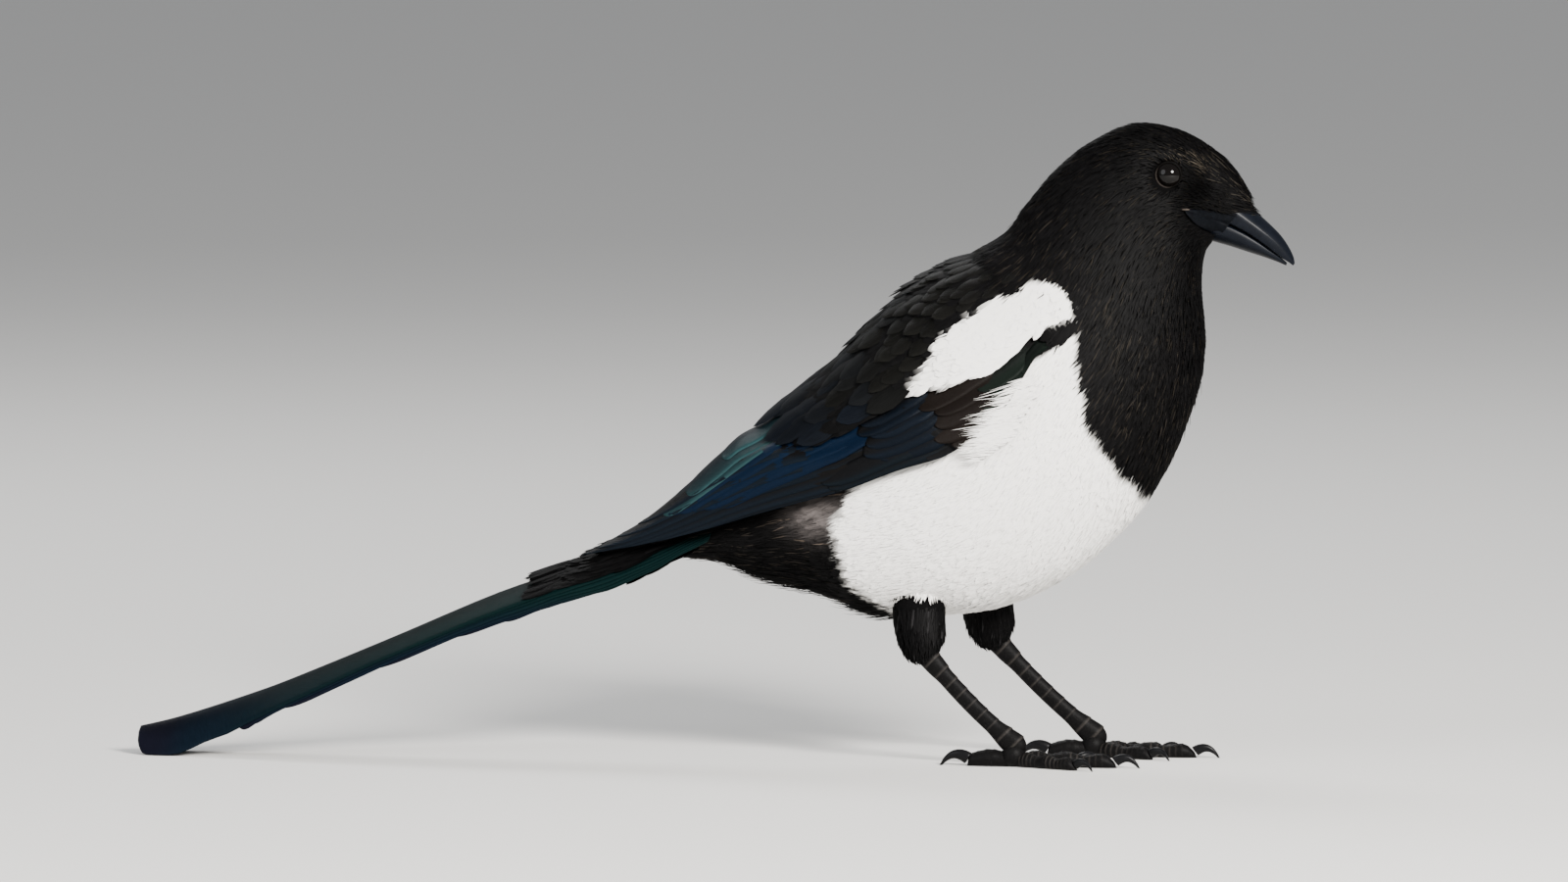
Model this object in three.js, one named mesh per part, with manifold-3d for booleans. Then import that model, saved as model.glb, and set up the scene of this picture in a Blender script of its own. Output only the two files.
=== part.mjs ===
// A life-size Eurasian magpie, standing, as a museum model: one closed solid for each part of the bird.
// Millimetres, +Z up, the bill towards +X and the bird's left towards +Y.
// The tables are in the bird's own frame: X from between the feet, Y from its mirror plane, Z from the ground.
import * as THREE from "three";
import { mergeVertices } from "three/addons/utils/BufferGeometryUtils.js";
import Module from "manifold-3d";

const wasm = await Module();
wasm.setup();

// Driving dimensions
const GAP = 0.35; // between parts that touch
const SIDES = { right: -1, left: 1 }; // the sign of Y

// The trunk and head without the wings, as ribs from the bill to the tail's root.
// Each rib: back X and Z, belly X and Z, half width, and how far the widest point lies towards the back.
const RIBS = [
  [94.0, 198.9, 82.2, 184.0, 7.6, -0.1],
  [90.2, 207.3, 79.8, 180.6, 11.3, -0.1],
  [82.0, 216.3, 78.6, 176.4, 14.8, -0.1],
  [69.8, 222.9, 78.1, 170.6, 17.6, -0.06],
  [55.5, 225.0, 78.3, 164.6, 19.6, 0.0],
  [41.6, 220.0, 79.0, 157.6, 21.2, 0.0],
  [29.5, 211.4, 79.4, 149.6, 23.6, 0.0],
  [19.1, 200.4, 78.5, 138.4, 27.2, 0.0],
  [8.9, 187.6, 74.9, 124.4, 31.5, 0.02],
  [-5.0, 179.0, 68.0, 107.0, 36.0, 0.04],
  [-20.8, 171.0, 56.2, 87.6, 39.5, 0.04],
  [-34.7, 159.2, 36.4, 68.4, 40.5, 0.02],
  [-46.8, 145.9, 13.9, 56.1, 39.5, 0.0],
  [-57.2, 135.5, -10.4, 51.1, 36.5, -0.04],
  [-65.8, 123.4, -33.0, 50.9, 32.0, -0.08],
  [-75.0, 110.5, -53.8, 57.7, 25.5, -0.1],
  [-83.6, 99.0, -72.8, 62.6, 19.0, -0.05],
  [-93.0, 89.0, -90.2, 68.6, 14.0, 0.0],
  [-104.5, 80.5, -106.5, 70.9, 11.0, 0.0],
];
const RIB_STEPS = 1; // rings for each rib
const TRUNK_SIDES = 24;

// The bird's outline with the wings folded on, from the shoulder to the wing tips.
// Each station: back X and Z, lower wing edge X and Z, and half width there. Between them runs a quarter ellipse.
const SHELL = [
  [13.9, 190.7, 44.9, 156.8, 31.5],
  [3.5, 182.5, 35.7, 142.6, 36.8],
  [-8.7, 177.6, 23.4, 127.9, 41.0],
  [-20.8, 171.0, 9.8, 119.2, 43.5],
  [-34.7, 159.2, -7.5, 110.6, 44.0],
  [-46.8, 146.9, -25.1, 105.1, 42.0],
  [-57.2, 138.2, -42.8, 98.2, 38.5],
  [-67.6, 129.8, -58.9, 93.5, 34.0],
  [-79.8, 119.4, -75.9, 88.5, 28.5],
  [-91.9, 108.8, -90.7, 83.7, 23.5],
  [-104.1, 97.4, -105.0, 79.6, 19.0],
  [-116.2, 87.0, -119.2, 76.2, 15.5],
  [-128.4, 79.3, -129.9, 74.2, 12.8],
  [-137.7, 73.7, -138.5, 72.4, 10.5],
];

// Borders on the shell, as station and degrees round from the back
const MANTLE_EDGE = [
  [0.3, 66], [0.6, 57], [1, 50], [2, 46.5], [3, 49.5], [4, 57], [4.5, 60], [5, 62.5], [6, 63.5], [7, 57], [7.6, 36],
];
const COVER_EDGE = [
  [0.6, 80], [1, 75], [1.5, 72], [3, 71], [4, 66], [4.5, 62], [5, 63.5], [6, 64.5], [7, 59], [7.6, 40],
];
const WING_TOP = [
  [0.75, 62], [1.5, 50], [3, 38], [4, 28], [5, 16], [6, 7], [6.6, 2.2], [13.4, 2.2],
];
const WING_BOTTOM = [
  [0.75, 81], [1.1, 78.5], [1.5, 77], [2, 80], [2.7, 85.5], [4, 90], [13.4, 90],
];

// Depths below the shell
const COVER_TOP = 0.2; // mantle and shoulder patches
const COVER_UNDER = 1.6;
const WING_RECESS = 3.1; // the wing's face where they cover it
const WING_FACE = 0.5; // the wing's face elsewhere
const VANE = 0.85; // thickness of a feather
const LIFT = 0.65; // how far a feather's free edge rises

// Flight feathers of a wing, from the back down: root station, tip station, root angle, tip angle, half width
const FLIGHT = [
  [5.5, 8.9, 14, 20, 8.8],
  [5.2, 9.9, 26, 31, 8.6],
  [4.9, 10.55, 38, 38, 8.0],
  [4.6, 10.3, 48, 49, 7.2],
  [4.4, 9.9, 57, 58, 6.6],
  [4.2, 9.4, 65, 66, 6.0],
  [4.1, 11.4, 71, 28, 6.0],
  [3.9, 12.2, 75, 42, 5.6],
  [3.8, 13.2, 79, 55, 5.2],
  [3.7, 12.7, 83, 70, 4.8],
  [3.5, 11.7, 87, 82, 4.2],
];
// Rows of wing coverts: how many, root and tip station, first and last angle, half width
const COVERTS = [
  { count: 5, root: 3.3, tip: 5.3, from: 62, to: 80, half: 7.0 },
  { count: 2, root: 3.6, tip: 6.3, from: 82, to: 87, half: 4.8 },
  { count: 4, root: 1.7, tip: 3.9, from: 71, to: 84, half: 7.0 },
];
// Rows of the white shoulder feathers and of the black mantle feathers
const SHOULDER_ROWS = [
  { count: 2, root: 1.6, tip: 3.3, half: 7.6 },
  { count: 2, root: 2.7, tip: 4.25, half: 6.6 },
];
const MANTLE_ROWS = [{ count: 7, root: 4.3, tip: 6.5, half: 8.4 }];

// The tail's ridge from root to tip: X, Z, how far its edges hang below it, and how far out they are
const TAIL = [
  [-84, 89.0, 4.0, 12.0],
  [-97, 83.4, 5.5, 14.0],
  [-108, 78.6, 6.8, 15.2],
  [-122, 73.4, 7.6, 16.4],
  [-139, 68.8, 8.8, 17.2],
  [-152.6, 64.4, 9.6, 17.4],
  [-173.5, 57.0, 10.4, 17.2],
  [-208.1, 42.1, 10.4, 16.4],
  [-242.8, 27.6, 11.4, 14.6],
  [-256.7, 22.3, 12.6, 13.0],
  [-270.6, 17.5, 13.6, 12.0],
  [-284.5, 13.2, 14.4, 11.0],
  [-298.0, 9.8, 12.0, 10.0],
];
const TAIL_ROOT = 0.6; // station where the feathers start
// The tail feathers, central pair first: station of the tip, how far the middle lies from the ridge, half width
const TAIL_FEATHERS = [
  [12, 3.2, 11.6],
  [9.3, 5.4, 9.8],
  [8.15, 6.8, 9.4],
  [7.2, 8.0, 9.0],
  [6.4, 8.9, 8.6],
  [5.75, 9.6, 8.0],
];
const TAIL_STEP = 0.6; // each pair lies this much lower than the one inside it
const TAIL_CUT = { x: -96.5, z: 80, slope: 0.42 };

// The head
const EYE = { x: 67.4, z: 207.6, y: 12.3, radius: 5.2, lid: 4.7, lidThick: 0.85, lidY: 15.75 };
// Upper and lower halves of the bill: top X and Z, bottom X and Z, half width
const BILL_UPPER = [
  [86.0, 201.5, 79.5, 192.8, 6.5],
  [92.0, 198.7, 85.8, 190.5, 6.4],
  [97.1, 194.0, 92.3, 187.5, 5.7],
  [102.0, 189.6, 97.8, 184.1, 4.9],
  [105.8, 185.7, 102.1, 180.9, 3.8],
  [108.6, 181.6, 105.8, 178.1, 2.6],
  [110.2, 178.2, 108.6, 176.3, 1.4],
  [110.6, 175.9, 110.0, 175.2, 0.45],
];
const BILL_LOWER = [
  [79.4, 192.4, 74.6, 186.0, 5.9],
  [85.6, 190.1, 81.0, 183.8, 5.8],
  [92.1, 187.1, 88.4, 181.7, 5.2],
  [97.6, 183.7, 95.0, 179.6, 4.4],
  [101.9, 180.5, 100.4, 177.9, 3.3],
  [105.6, 177.7, 104.9, 176.3, 1.9],
  [107.9, 175.8, 107.6, 175.2, 0.5],
];

// The legs: each has its own stance
const LEGS = {
  right: { ankle: [-15.0, -19.5, 36.4], foot: [14.3, -21.5, 7.4], hip: [-17.5, -16.0, 60.0], turn: -2 },
  left: { ankle: [6.4, 19.5, 38.2], foot: [38.7, 21.5, 7.4], hip: [3.0, 16.0, 62.0], turn: -4 },
};
const SHANK = { deep: 2.75, wide: 2.1, scutes: 5, scuteRise: 0.3, sides: 8 };
// Share of the way down the thigh, half depth fore and aft, half width, and how far back of the bone its middle lies
const THIGH = [
  [-0.1, 11.0, 7.6, 3.0],
  [0.3, 9.8, 7.4, 2.8],
  [0.55, 9.0, 6.8, 2.6],
  [0.76, 7.2, 5.6, 2.6],
  [0.9, 5.2, 4.2, 2.2],
  [1.0, 3.3, 3.0, 1.0],
];
const HUB = { radius: 4.3, z: 4.0 };
// Toes: heading from forward in degrees outwards, length, thickness at root and end, claw length and thickness
const TOES = {
  middle: { heading: 2, length: 36, thick: 5.3, end: 4.4, claw: 10.5, clawThick: 2.7, pads: 3 },
  inner: { heading: -26, length: 24.5, thick: 5.0, end: 4.2, claw: 9.5, clawThick: 2.5, pads: 2 },
  outer: { heading: 30, length: 27, thick: 4.8, end: 4.0, claw: 9.0, clawThick: 2.4, pads: 3 },
  hind: { heading: 184, length: 17, thick: 5.8, end: 5.0, claw: 12.5, clawThick: 3.2, pads: 1 },
};
const SOLE = 0.45; // depth of the flat under each pad

// Numbers

// A row of the table at a fractional place, on a smooth curve through its rows
function smooth(table, place) {
  const last = table.length - 1;
  const t = Math.min(Math.max(place, 0), last);
  const i = Math.min(Math.floor(t), last - 1);
  const u = t - i;
  const at = (k) => table[Math.min(Math.max(k, 0), last)];
  return table[i].map((_, c) => {
    const [a, b, d, e] = [at(i - 1)[c], at(i)[c], at(i + 1)[c], at(i + 2)[c]];
    const inner = (d - a) / 2;
    const outer = (e - b) / 2;
    return (
      (2 * u ** 3 - 3 * u * u + 1) * b +
      (u ** 3 - 2 * u * u + u) * inner +
      (3 * u * u - 2 * u ** 3) * d +
      (u ** 3 - u * u) * outer
    );
  });
}

// The second column of a table at a value of its first, in straight lines
function along(table, x) {
  if (x <= table[0][0]) return table[0][1];
  for (let i = 1; i < table.length; i++) {
    const [x0, y0] = table[i - 1];
    const [x1, y1] = table[i];
    if (x <= x1) return y0 + ((y1 - y0) * (x - x0)) / (x1 - x0);
  }
  return table[table.length - 1][1];
}

const radians = THREE.MathUtils.degToRad;
const mix = THREE.MathUtils.lerp;
const step = THREE.MathUtils.smoothstep;
const point = (x, y, z) => new THREE.Vector3(x, y, z);

// Solids

// A closed solid from points and triangles, with its faces turned outwards
function solidOf(points, faces) {
  const geometry = new THREE.BufferGeometry();
  geometry.setAttribute("position", new THREE.Float32BufferAttribute(points.flatMap((p) => [p.x, p.y, p.z]), 3));
  geometry.setIndex(faces.flat());
  const merged = mergeVertices(geometry, 1e-4);
  const make = (flip) => {
    const triVerts = new Uint32Array(merged.index.array);
    if (flip) {
      for (let i = 0; i < triVerts.length; i += 3) {
        [triVerts[i + 1], triVerts[i + 2]] = [triVerts[i + 2], triVerts[i + 1]];
      }
    }
    const vertProperties = merged.attributes.position.array;
    return new wasm.Manifold(new wasm.Mesh({ numProp: 3, vertProperties, triVerts }));
  };
  const solid = make(false);
  return solid.volume() < 0 ? make(true) : solid;
}

// A tube through rings of equal length, closed at both ends on the ring's middle
function loft(rings) {
  const count = rings[0].length;
  const points = rings.flat();
  const faces = [];
  for (let i = 0; i + 1 < rings.length; i++) {
    for (let j = 0; j < count; j++) {
      const [a, b] = [i * count + j, i * count + ((j + 1) % count)];
      faces.push([a, b, b + count], [a, b + count, a + count]);
    }
  }
  for (const [ring, base, turn] of [
    [rings[0], 0, false],
    [rings[rings.length - 1], (rings.length - 1) * count, true],
  ]) {
    const middle = ring.reduce((sum, p) => sum.add(p), point(0, 0, 0)).divideScalar(count);
    points.push(middle);
    for (let j = 0; j < count; j++) {
      const [a, b] = [base + j, base + ((j + 1) % count)];
      faces.push(turn ? [a, b, points.length - 1] : [b, a, points.length - 1]);
    }
  }
  return solidOf(points, faces);
}

// A sheet between two grids of points of one size, with both faces split into triangles alike
function sheet(outer, inner) {
  const [rows, columns] = [outer.length, outer[0].length];
  const points = [...outer.flat(), ...inner.flat()];
  const half = rows * columns;
  const faces = [];
  const at = (i, j) => i * columns + j;
  for (let i = 0; i + 1 < rows; i++) {
    for (let j = 0; j + 1 < columns; j++) {
      const [a, b, c, d] = [at(i, j), at(i + 1, j), at(i + 1, j + 1), at(i, j + 1)];
      faces.push([a, b, c], [a, c, d], [a + half, c + half, b + half], [a + half, d + half, c + half]);
    }
  }
  const rim = [];
  for (let j = 0; j + 1 < columns; j++) rim.push(at(0, j));
  for (let i = 0; i + 1 < rows; i++) rim.push(at(i, columns - 1));
  for (let j = columns - 1; j > 0; j--) rim.push(at(rows - 1, j));
  for (let i = rows - 1; i > 0; i--) rim.push(at(i, 0));
  rim.forEach((a, k) => {
    const b = rim[(k + 1) % rim.length];
    faces.push([a, b, b + half], [a, b + half, a + half]);
  });
  return solidOf(points, faces);
}

function fromGeometry(geometry, place) {
  const bare = geometry.index ? geometry.toNonIndexed() : geometry;
  const positions = bare.getAttribute("position");
  const points = [];
  const faces = [];
  for (let i = 0; i < positions.count; i++) {
    points.push(new THREE.Vector3().fromBufferAttribute(positions, i).applyMatrix4(place));
    if (i % 3 === 2) faces.push([i - 2, i - 1, i]);
  }
  return solidOf(points, faces);
}

function ball(centre, radius, sides = 14) {
  const place = new THREE.Matrix4().makeTranslation(centre.x, centre.y, centre.z);
  return fromGeometry(new THREE.SphereGeometry(radius, sides, Math.round(sides * 0.7)), place);
}

const union = (solids) => solids.reduce((sum, s) => sum.add(s));

// The largest closed surface of a solid
function largest(solid) {
  return solid.decompose().reduce((a, b) => (b.volume() > a.volume() ? b : a));
}

// The part of a solid on the side of a plane that its normal points to, half a gap away from the plane
function side(solid, plane, sign) {
  const normal = [plane.normal[0] * sign, plane.normal[1] * sign, plane.normal[2] * sign];
  return solid.trimByPlane(normal, plane.offset * sign + GAP / 2);
}

// A plane square to the mirror plane, through two points in side view. Its normal lies to the left of the way from a to b.
function sidePlane(a, b) {
  const length = Math.hypot(b[0] - a[0], b[1] - a[1]);
  const normal = [-(b[1] - a[1]) / length, 0, (b[0] - a[0]) / length];
  return { normal, offset: normal[0] * a[0] + normal[2] * a[1] };
}

// The trunk

// A ring of the trunk, grown outwards by some millimetres
function rib(place, grow = 0) {
  const [bx, bz, vx, vz, half, high] = smooth(RIBS, place);
  const [mx, mz] = [(bx + vx) / 2, (bz + vz) / 2];
  const [hx, hz] = [(bx - vx) / 2, (bz - vz) / 2];
  const stretch = 1 + grow / Math.hypot(hx, hz);
  return Array.from({ length: TRUNK_SIDES }, (_, k) => {
    const turn = (2 * Math.PI * k) / TRUNK_SIDES;
    const [c, s] = [Math.cos(turn), Math.sin(turn)];
    return point(mx + hx * c * stretch, (half + grow) * s * (1 + high * c), mz + hz * c * stretch);
  });
}

function trunk(grow = 0) {
  const count = Math.round((RIBS.length - 1) * RIB_STEPS);
  const rings = Array.from({ length: count + 1 }, (_, i) => rib((i * (RIBS.length - 1)) / count, grow));
  if (grow > 0) {
    const [x, z] = [RIBS[0][0] - RIBS[0][2], RIBS[0][1] - RIBS[0][3]];
    const ahead = point(z, 0, -x).setLength(1.6 * grow);
    rings.unshift(rings[0].map((p) => p.clone().add(ahead)));
  }
  return loft(rings);
}

// The shell that the wings, mantle and shoulder patches lie on

function shellPoint(place, angle, hand) {
  const [bx, bz, mx, mz, half] = smooth(SHELL, place);
  const f = 1 - Math.cos(angle);
  return point(bx + (mx - bx) * f, hand * half * Math.sin(angle), bz + (mz - bz) * f);
}

// A point under the shell: station, angle in degrees (negative on the other side), depth
function shell(place, degrees, depth, hand = 1) {
  const last = SHELL.length - 1;
  const p = Math.min(place, last);
  const angle = radians(degrees);
  const e = 0.02;
  const here = shellPoint(p, angle, hand);
  const ahead = shellPoint(Math.max(p - e, 0), angle, hand).sub(shellPoint(Math.min(p + e, last), angle, hand));
  const round = shellPoint(p, angle + e, hand).sub(shellPoint(p, angle - e, hand));
  const normal = ahead.clone().cross(round).normalize();
  if (normal.dot(point(0, hand * Math.sin(angle), Math.cos(angle) + 0.1)) < 0) normal.negate();
  if (place > last) here.addScaledVector(ahead.normalize(), -(place - last) * 10);
  return here.addScaledVector(normal, -depth);
}

// Degrees of angle that a millimetre across the shell takes at a place
function degreesPerMillimetre(place, degrees) {
  const a = shellPoint(Math.min(place, SHELL.length - 1), radians(degrees), 1);
  const b = shellPoint(Math.min(place, SHELL.length - 1), radians(degrees + 1), 1);
  return 1 / Math.max(a.distanceTo(b), 0.05);
}

// 1 where the mantle and shoulder patches cover the wing, falling to 0 just outside them
function covered(place, degrees) {
  const inside = 1 - step(degrees - along(COVER_EDGE, place), 2, 11);
  return inside * (1 - step(place, 7.7, 8.5));
}

const wingFace = (place, degrees) => mix(WING_FACE, WING_RECESS, covered(place, degrees));

// A curved sheet on the shell between two borders and two depths
function patch({ from, to, rows, columns, low, high, outer, inner, hand }) {
  const grid = (depth) =>
    Array.from({ length: rows + 1 }, (_, i) => {
      const place = mix(from, to, i / rows);
      return Array.from({ length: columns + 1 }, (_, j) => {
        const degrees = mix(low(place), high(place), j / columns);
        return shell(place, degrees, depth(place, degrees, j / columns), hand);
      });
    });
  return sheet(grid(outer), grid(inner));
}

// A feather's half width along its length, as a share of the greatest
function vaneShape(s, point_) {
  const root = Math.min(1, 0.6 + 1.1 * s);
  const start = 1 - point_;
  return s < start ? root : root * Math.sqrt(Math.max(0, 1 - ((s - start) / point_) ** 2));
}

const SHORT_ROWS = [0, 0.45, 0.8, 0.97];
const LONG_ROWS = [0, 0.42, 0.84, 0.98];

// A feather on the shell. face gives the depth of the surface it lies on, and turn is 1 where its far edge is the free one.
function vane({
  root, tip, rootAngle, tipAngle, half, face, hand, low, high,
  turn = 1, sink = 1.6, rows = SHORT_ROWS, round = 0.3, across = [-1, 1],
}) {
  const grid = (thick) =>
    rows.map((s) => {
      const place = mix(root, tip, s);
      const middle = mix(rootAngle, tipAngle, s);
      const width = half * vaneShape(s, round) * degreesPerMillimetre(place, middle);
      return across.map((o) => {
        const degrees = Math.min(Math.max(middle + o * width, low(place)), high(place));
        const rise = LIFT * (0.5 + 0.5 * turn * o) * step(s, 0, 0.4);
        const rooted = sink * (1 - step(s, 0, 0.35));
        return shell(place, degrees, face(place, degrees) + rooted - rise + thick, hand);
      });
    });
  return sheet(grid(0), grid(VANE));
}

// Wings

function wing(hand) {
  const core = patch({
    from: 0.8,
    to: 5.6,
    rows: 6,
    columns: 5,
    low: (p) => along(WING_TOP, p) + 1,
    high: (p) => along(WING_BOTTOM, p) - 1.5,
    outer: (p, d) => wingFace(p, d) + 0.22,
    inner: (p, d, share) => wingFace(p, d) + 0.35 + wingDepth(p) * Math.sin(Math.PI * mix(0.12, 0.88, share)),
    hand,
  });
  const vanes = FLIGHT.map(([root, tip, rootAngle, tipAngle, half], k) =>
    vane({
      root,
      tip,
      rootAngle,
      tipAngle,
      half,
      face: (p, d) => wingFace(p, d) + 0.1,
      hand,
      low: (p) => along(WING_TOP, p) + 0.2 * k,
      high: (p) => along(WING_BOTTOM, p) - 0.2 * (FLIGHT.length - k),
      round: 0.2 + 0.01 * k,
      sink: 1.2,
      rows: LONG_ROWS,
      across: [-1, 0, 1],
    }),
  );
  for (const { count, root, tip, from, to, half } of COVERTS) {
    for (let k = 0; k < count; k++) {
      const angle = mix(from, to, count > 1 ? k / (count - 1) : 0);
      const shift = 0.18 * Math.sin(2.1 * k);
      const face = (p, d) => wingFace(p, d) - 0.25;
      const low = (p) => along(WING_TOP, p) + 0.3 * k;
      const high = (p) => along(WING_BOTTOM, p) - 0.25 * (count - k) - 0.13;
      vanes.push(vane({ root, tip: tip + shift, rootAngle: angle, tipAngle: angle + 1, half, face, hand, low, high }));
    }
  }
  return union([core, ...vanes]);
}

const wingDepth = (place) => mix(4.2, 1.4, step(place, 5, 9));

// The room that a wing takes, cut from what lies under it
function wingRoom(hand) {
  return patch({
    from: 0.7,
    to: 13.5,
    rows: 11,
    columns: 5,
    low: (p) => Math.max(along(WING_TOP, p) - 2.5, 0),
    high: (p) => along(WING_BOTTOM, p) + mix(2.5, 8, step(p, 5, 9)),
    outer: () => -8,
    inner: (p, d) => wingFace(p, d) + 0.35 + Math.max(wingDepth(p), 2.0) + GAP + 0.2,
    hand,
  });
}

// Mantle and shoulder patches

const coverFace = () => COVER_TOP;

function shoulder(hand) {
  const low = (p) => along(MANTLE_EDGE, p) + 2.2;
  const high = (p) => Math.max(along(COVER_EDGE, p) - 2, low(p) + 1.5);
  const pad = patch({
    from: 0.65,
    to: 4.15,
    rows: 7,
    columns: 4,
    low,
    high,
    outer: () => COVER_TOP + 0.15,
    inner: () => COVER_UNDER,
    hand,
  });
  const vanes = SHOULDER_ROWS.flatMap(({ count, root, tip, half }) =>
    Array.from({ length: count }, (_, k) => {
      const share = (k + 0.7) / (count + 0.2);
      const angleAt = (p) => mix(low(p), high(p), share);
      return vane({
        root,
        tip,
        rootAngle: angleAt(root),
        tipAngle: angleAt(tip),
        half: half * 0.8,
        face: coverFace,
        hand,
        low: (p) => low(p) + 0.4 * k,
        high: (p) => high(p) - 0.4 * (count - k),
        sink: 0.5,
      });
    }),
  );
  return union([pad, ...vanes]);
}

function mantle() {
  const edge = (p) => along(MANTLE_EDGE, p);
  const pad = patch({
    from: 1.05,
    to: 6.9,
    rows: 7,
    columns: 10,
    low: (p) => -edge(p) + 1,
    high: (p) => edge(p) - 1,
    outer: () => COVER_TOP + 0.15,
    inner: () => COVER_UNDER,
    hand: 1,
  });
  const vanes = MANTLE_ROWS.flatMap(({ count, root, tip, half }, row) =>
    Array.from({ length: count }, (_, k) => {
      const share = mix(-1, 1, (k + 0.5) / count);
      const reach = 1 - 0.05 * row;
      const out = Math.abs(share);
      const tipHere = tip + (row === MANTLE_ROWS.length - 1 ? 0.9 * (1 - out) : 0);
      return vane({
        root,
        tip: tipHere,
        rootAngle: share * (edge(root) - 6) * reach,
        tipAngle: share * (edge(tipHere) - 3),
        half,
        face: coverFace,
        hand: 1,
        low: (p) => -edge(p) + 0.4 * k,
        high: (p) => edge(p) - 0.4 * (count - k),
        turn: 0,
        sink: 0.5,
        across: [-1, 0, 1],
      });
    }),
  );
  return union([pad, ...vanes]);
}

function mantleRoom() {
  return patch({
    from: 0.98,
    to: 7.9,
    rows: 8,
    columns: 10,
    low: (p) => -along(MANTLE_EDGE, p) - 3,
    high: (p) => along(MANTLE_EDGE, p) + 3,
    outer: () => -8,
    inner: () => COVER_UNDER + GAP + 0.2,
    hand: 1,
  });
}

function shoulderRoom(hand) {
  return patch({
    from: 0.5,
    to: 4.7,
    rows: 8,
    columns: 4,
    low: (p) => along(MANTLE_EDGE, p) + 1.4,
    high: (p) => Math.max(along(COVER_EDGE, p), along(MANTLE_EDGE, p) + 3) + 2,
    outer: () => -8,
    inner: () => COVER_UNDER + GAP,
    hand,
  });
}

// Tail

// A point on the tail's roof: station, side in millimetres from the ridge, depth below its face
function tailPoint(place, across, depth) {
  const [x, z, drop, half] = smooth(TAIL, place);
  const e = 0.05;
  const a = smooth(TAIL, Math.max(place - e, 0));
  const b = smooth(TAIL, Math.min(place + e, TAIL.length - 1));
  const length = Math.hypot(b[0] - a[0], b[1] - a[1]);
  const [nx, nz] = [(b[1] - a[1]) / length, -(b[0] - a[0]) / length];
  const fall = drop * Math.min(Math.abs(across) / half, 1.3) ** 1.5 + depth;
  return point(x - nx * fall, across, z - nz * fall);
}

function tailFeather([tip, offset, half], pair, hand) {
  const rows = pair === 0 ? [0, 0.34, 0.66, 0.92, 0.97, 0.995] : [0, 0.5, 0.93, 0.99];
  const depth = TAIL_STEP * pair + (hand > 0 ? 0.3 : 0);
  const grid = (thick) =>
    rows.map((s) => {
      const place = mix(TAIL_ROOT, tip, s);
      const scale = 1 - 0.17 * step(place, 6, 12);
      const round = s > 0.92 ? Math.sqrt(Math.max(0, 1 - ((s - 0.92) / 0.082) ** 2)) : 1;
      const width = half * scale * Math.min(1, 0.62 + 0.9 * s) * round;
      const middle = scale * offset * (pair === 0 ? 1 - 0.75 * s ** 3 : 1);
      return [-1, 0, 1].map((o) => tailPoint(place, hand * (middle + o * width), depth + thick));
    });
  return sheet(grid(0), grid(VANE + 0.1));
}

function tail(stump) {
  const feathers = Object.values(SIDES).flatMap((hand) =>
    TAIL_FEATHERS.map((sizes, pair) => tailFeather(sizes, pair, hand)),
  );
  return union([stump, ...feathers]).trimByPlane([0, 0, 1], 0);
}

// Head

function eyeCentre(hand) {
  return point(EYE.x, hand * EYE.y, EYE.z);
}

function lids(hand) {
  const place = new THREE.Matrix4().makeRotationX(Math.PI / 2).setPosition(EYE.x, hand * EYE.lidY, EYE.z);
  return fromGeometry(new THREE.TorusGeometry(EYE.lid, EYE.lidThick, 5, 14), place);
}

// A half of the bill. flat is 1 where its lower face is the flat one and -1 where its upper face is.
function billHalf(table, flat) {
  const rings = table.map(([tx, tz, bx, bz, half]) =>
    Array.from({ length: 12 }, (_, k) => {
      const turn = (2 * Math.PI * k) / 12;
      const [c, s] = [Math.cos(turn), Math.sin(turn)];
      const squared = Math.abs(c) ** 0.14;
      const up = c * flat < 0 ? -flat * squared : c;
      const taper = c * flat < 0 ? 1 : 1 - 0.3 * Math.abs(c);
      return point((tx + bx) / 2 + ((tx - bx) / 2) * up, half * s * taper, (tz + bz) / 2 + ((tz - bz) / 2) * up);
    }),
  );
  return loft(rings);
}

// Legs

// Rings of an ellipse square to a line, with the deep axis in the line's own upright plane
function limbRing(centre, direction, deep, wide, sides) {
  const across = direction.clone().cross(point(0, 0, 1)).normalize();
  if (across.lengthSq() < 0.5) across.set(0, 1, 0);
  const up = across.clone().cross(direction).normalize();
  return Array.from({ length: sides }, (_, k) => {
    const turn = (2 * Math.PI * (k + 0.5)) / sides;
    return centre
      .clone()
      .addScaledVector(up, deep * Math.cos(turn))
      .addScaledVector(across, wide * Math.sin(turn));
  });
}

function shank({ ankle, foot }) {
  const [top, bottom] = [point(...ankle), point(...foot)];
  const direction = bottom.clone().sub(top).normalize();
  const rings = [];
  const ring = (s, rise) => {
    const swell = 1 + 0.35 * step(s, 0.82, 1) + 0.22 * (1 - step(s, 0, 0.16));
    rings.push(
      limbRing(top.clone().lerp(bottom, s), direction, (SHANK.deep + rise) * swell, (SHANK.wide + rise) * swell, SHANK.sides),
    );
  };
  ring(-0.04, -0.6);
  for (let k = 0; k < SHANK.scutes; k++) {
    ring(k / SHANK.scutes + 0.01, SHANK.scuteRise);
    ring((k + 0.96) / SHANK.scutes, 0);
  }
  ring(1.02, 0);
  return union([loft(rings), ball(point(foot[0] - 0.4, foot[1], HUB.z), HUB.radius, 8)]).trimByPlane([0, 0, 1], 0);
}

function thigh({ hip, ankle }) {
  const [top, bottom] = [point(...hip), point(...ankle)];
  const rings = THIGH.map(([s, deep, wide, back]) => {
    const centre = top.clone().lerp(bottom, s);
    return Array.from({ length: 14 }, (_, k) => {
      const turn = (2 * Math.PI * k) / 14;
      return point(centre.x - back + deep * Math.cos(turn), centre.y + wide * Math.sin(turn), centre.z - 0.25 * deep * (1 - Math.cos(turn)) * s);
    });
  });
  return loft(rings);
}

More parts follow.
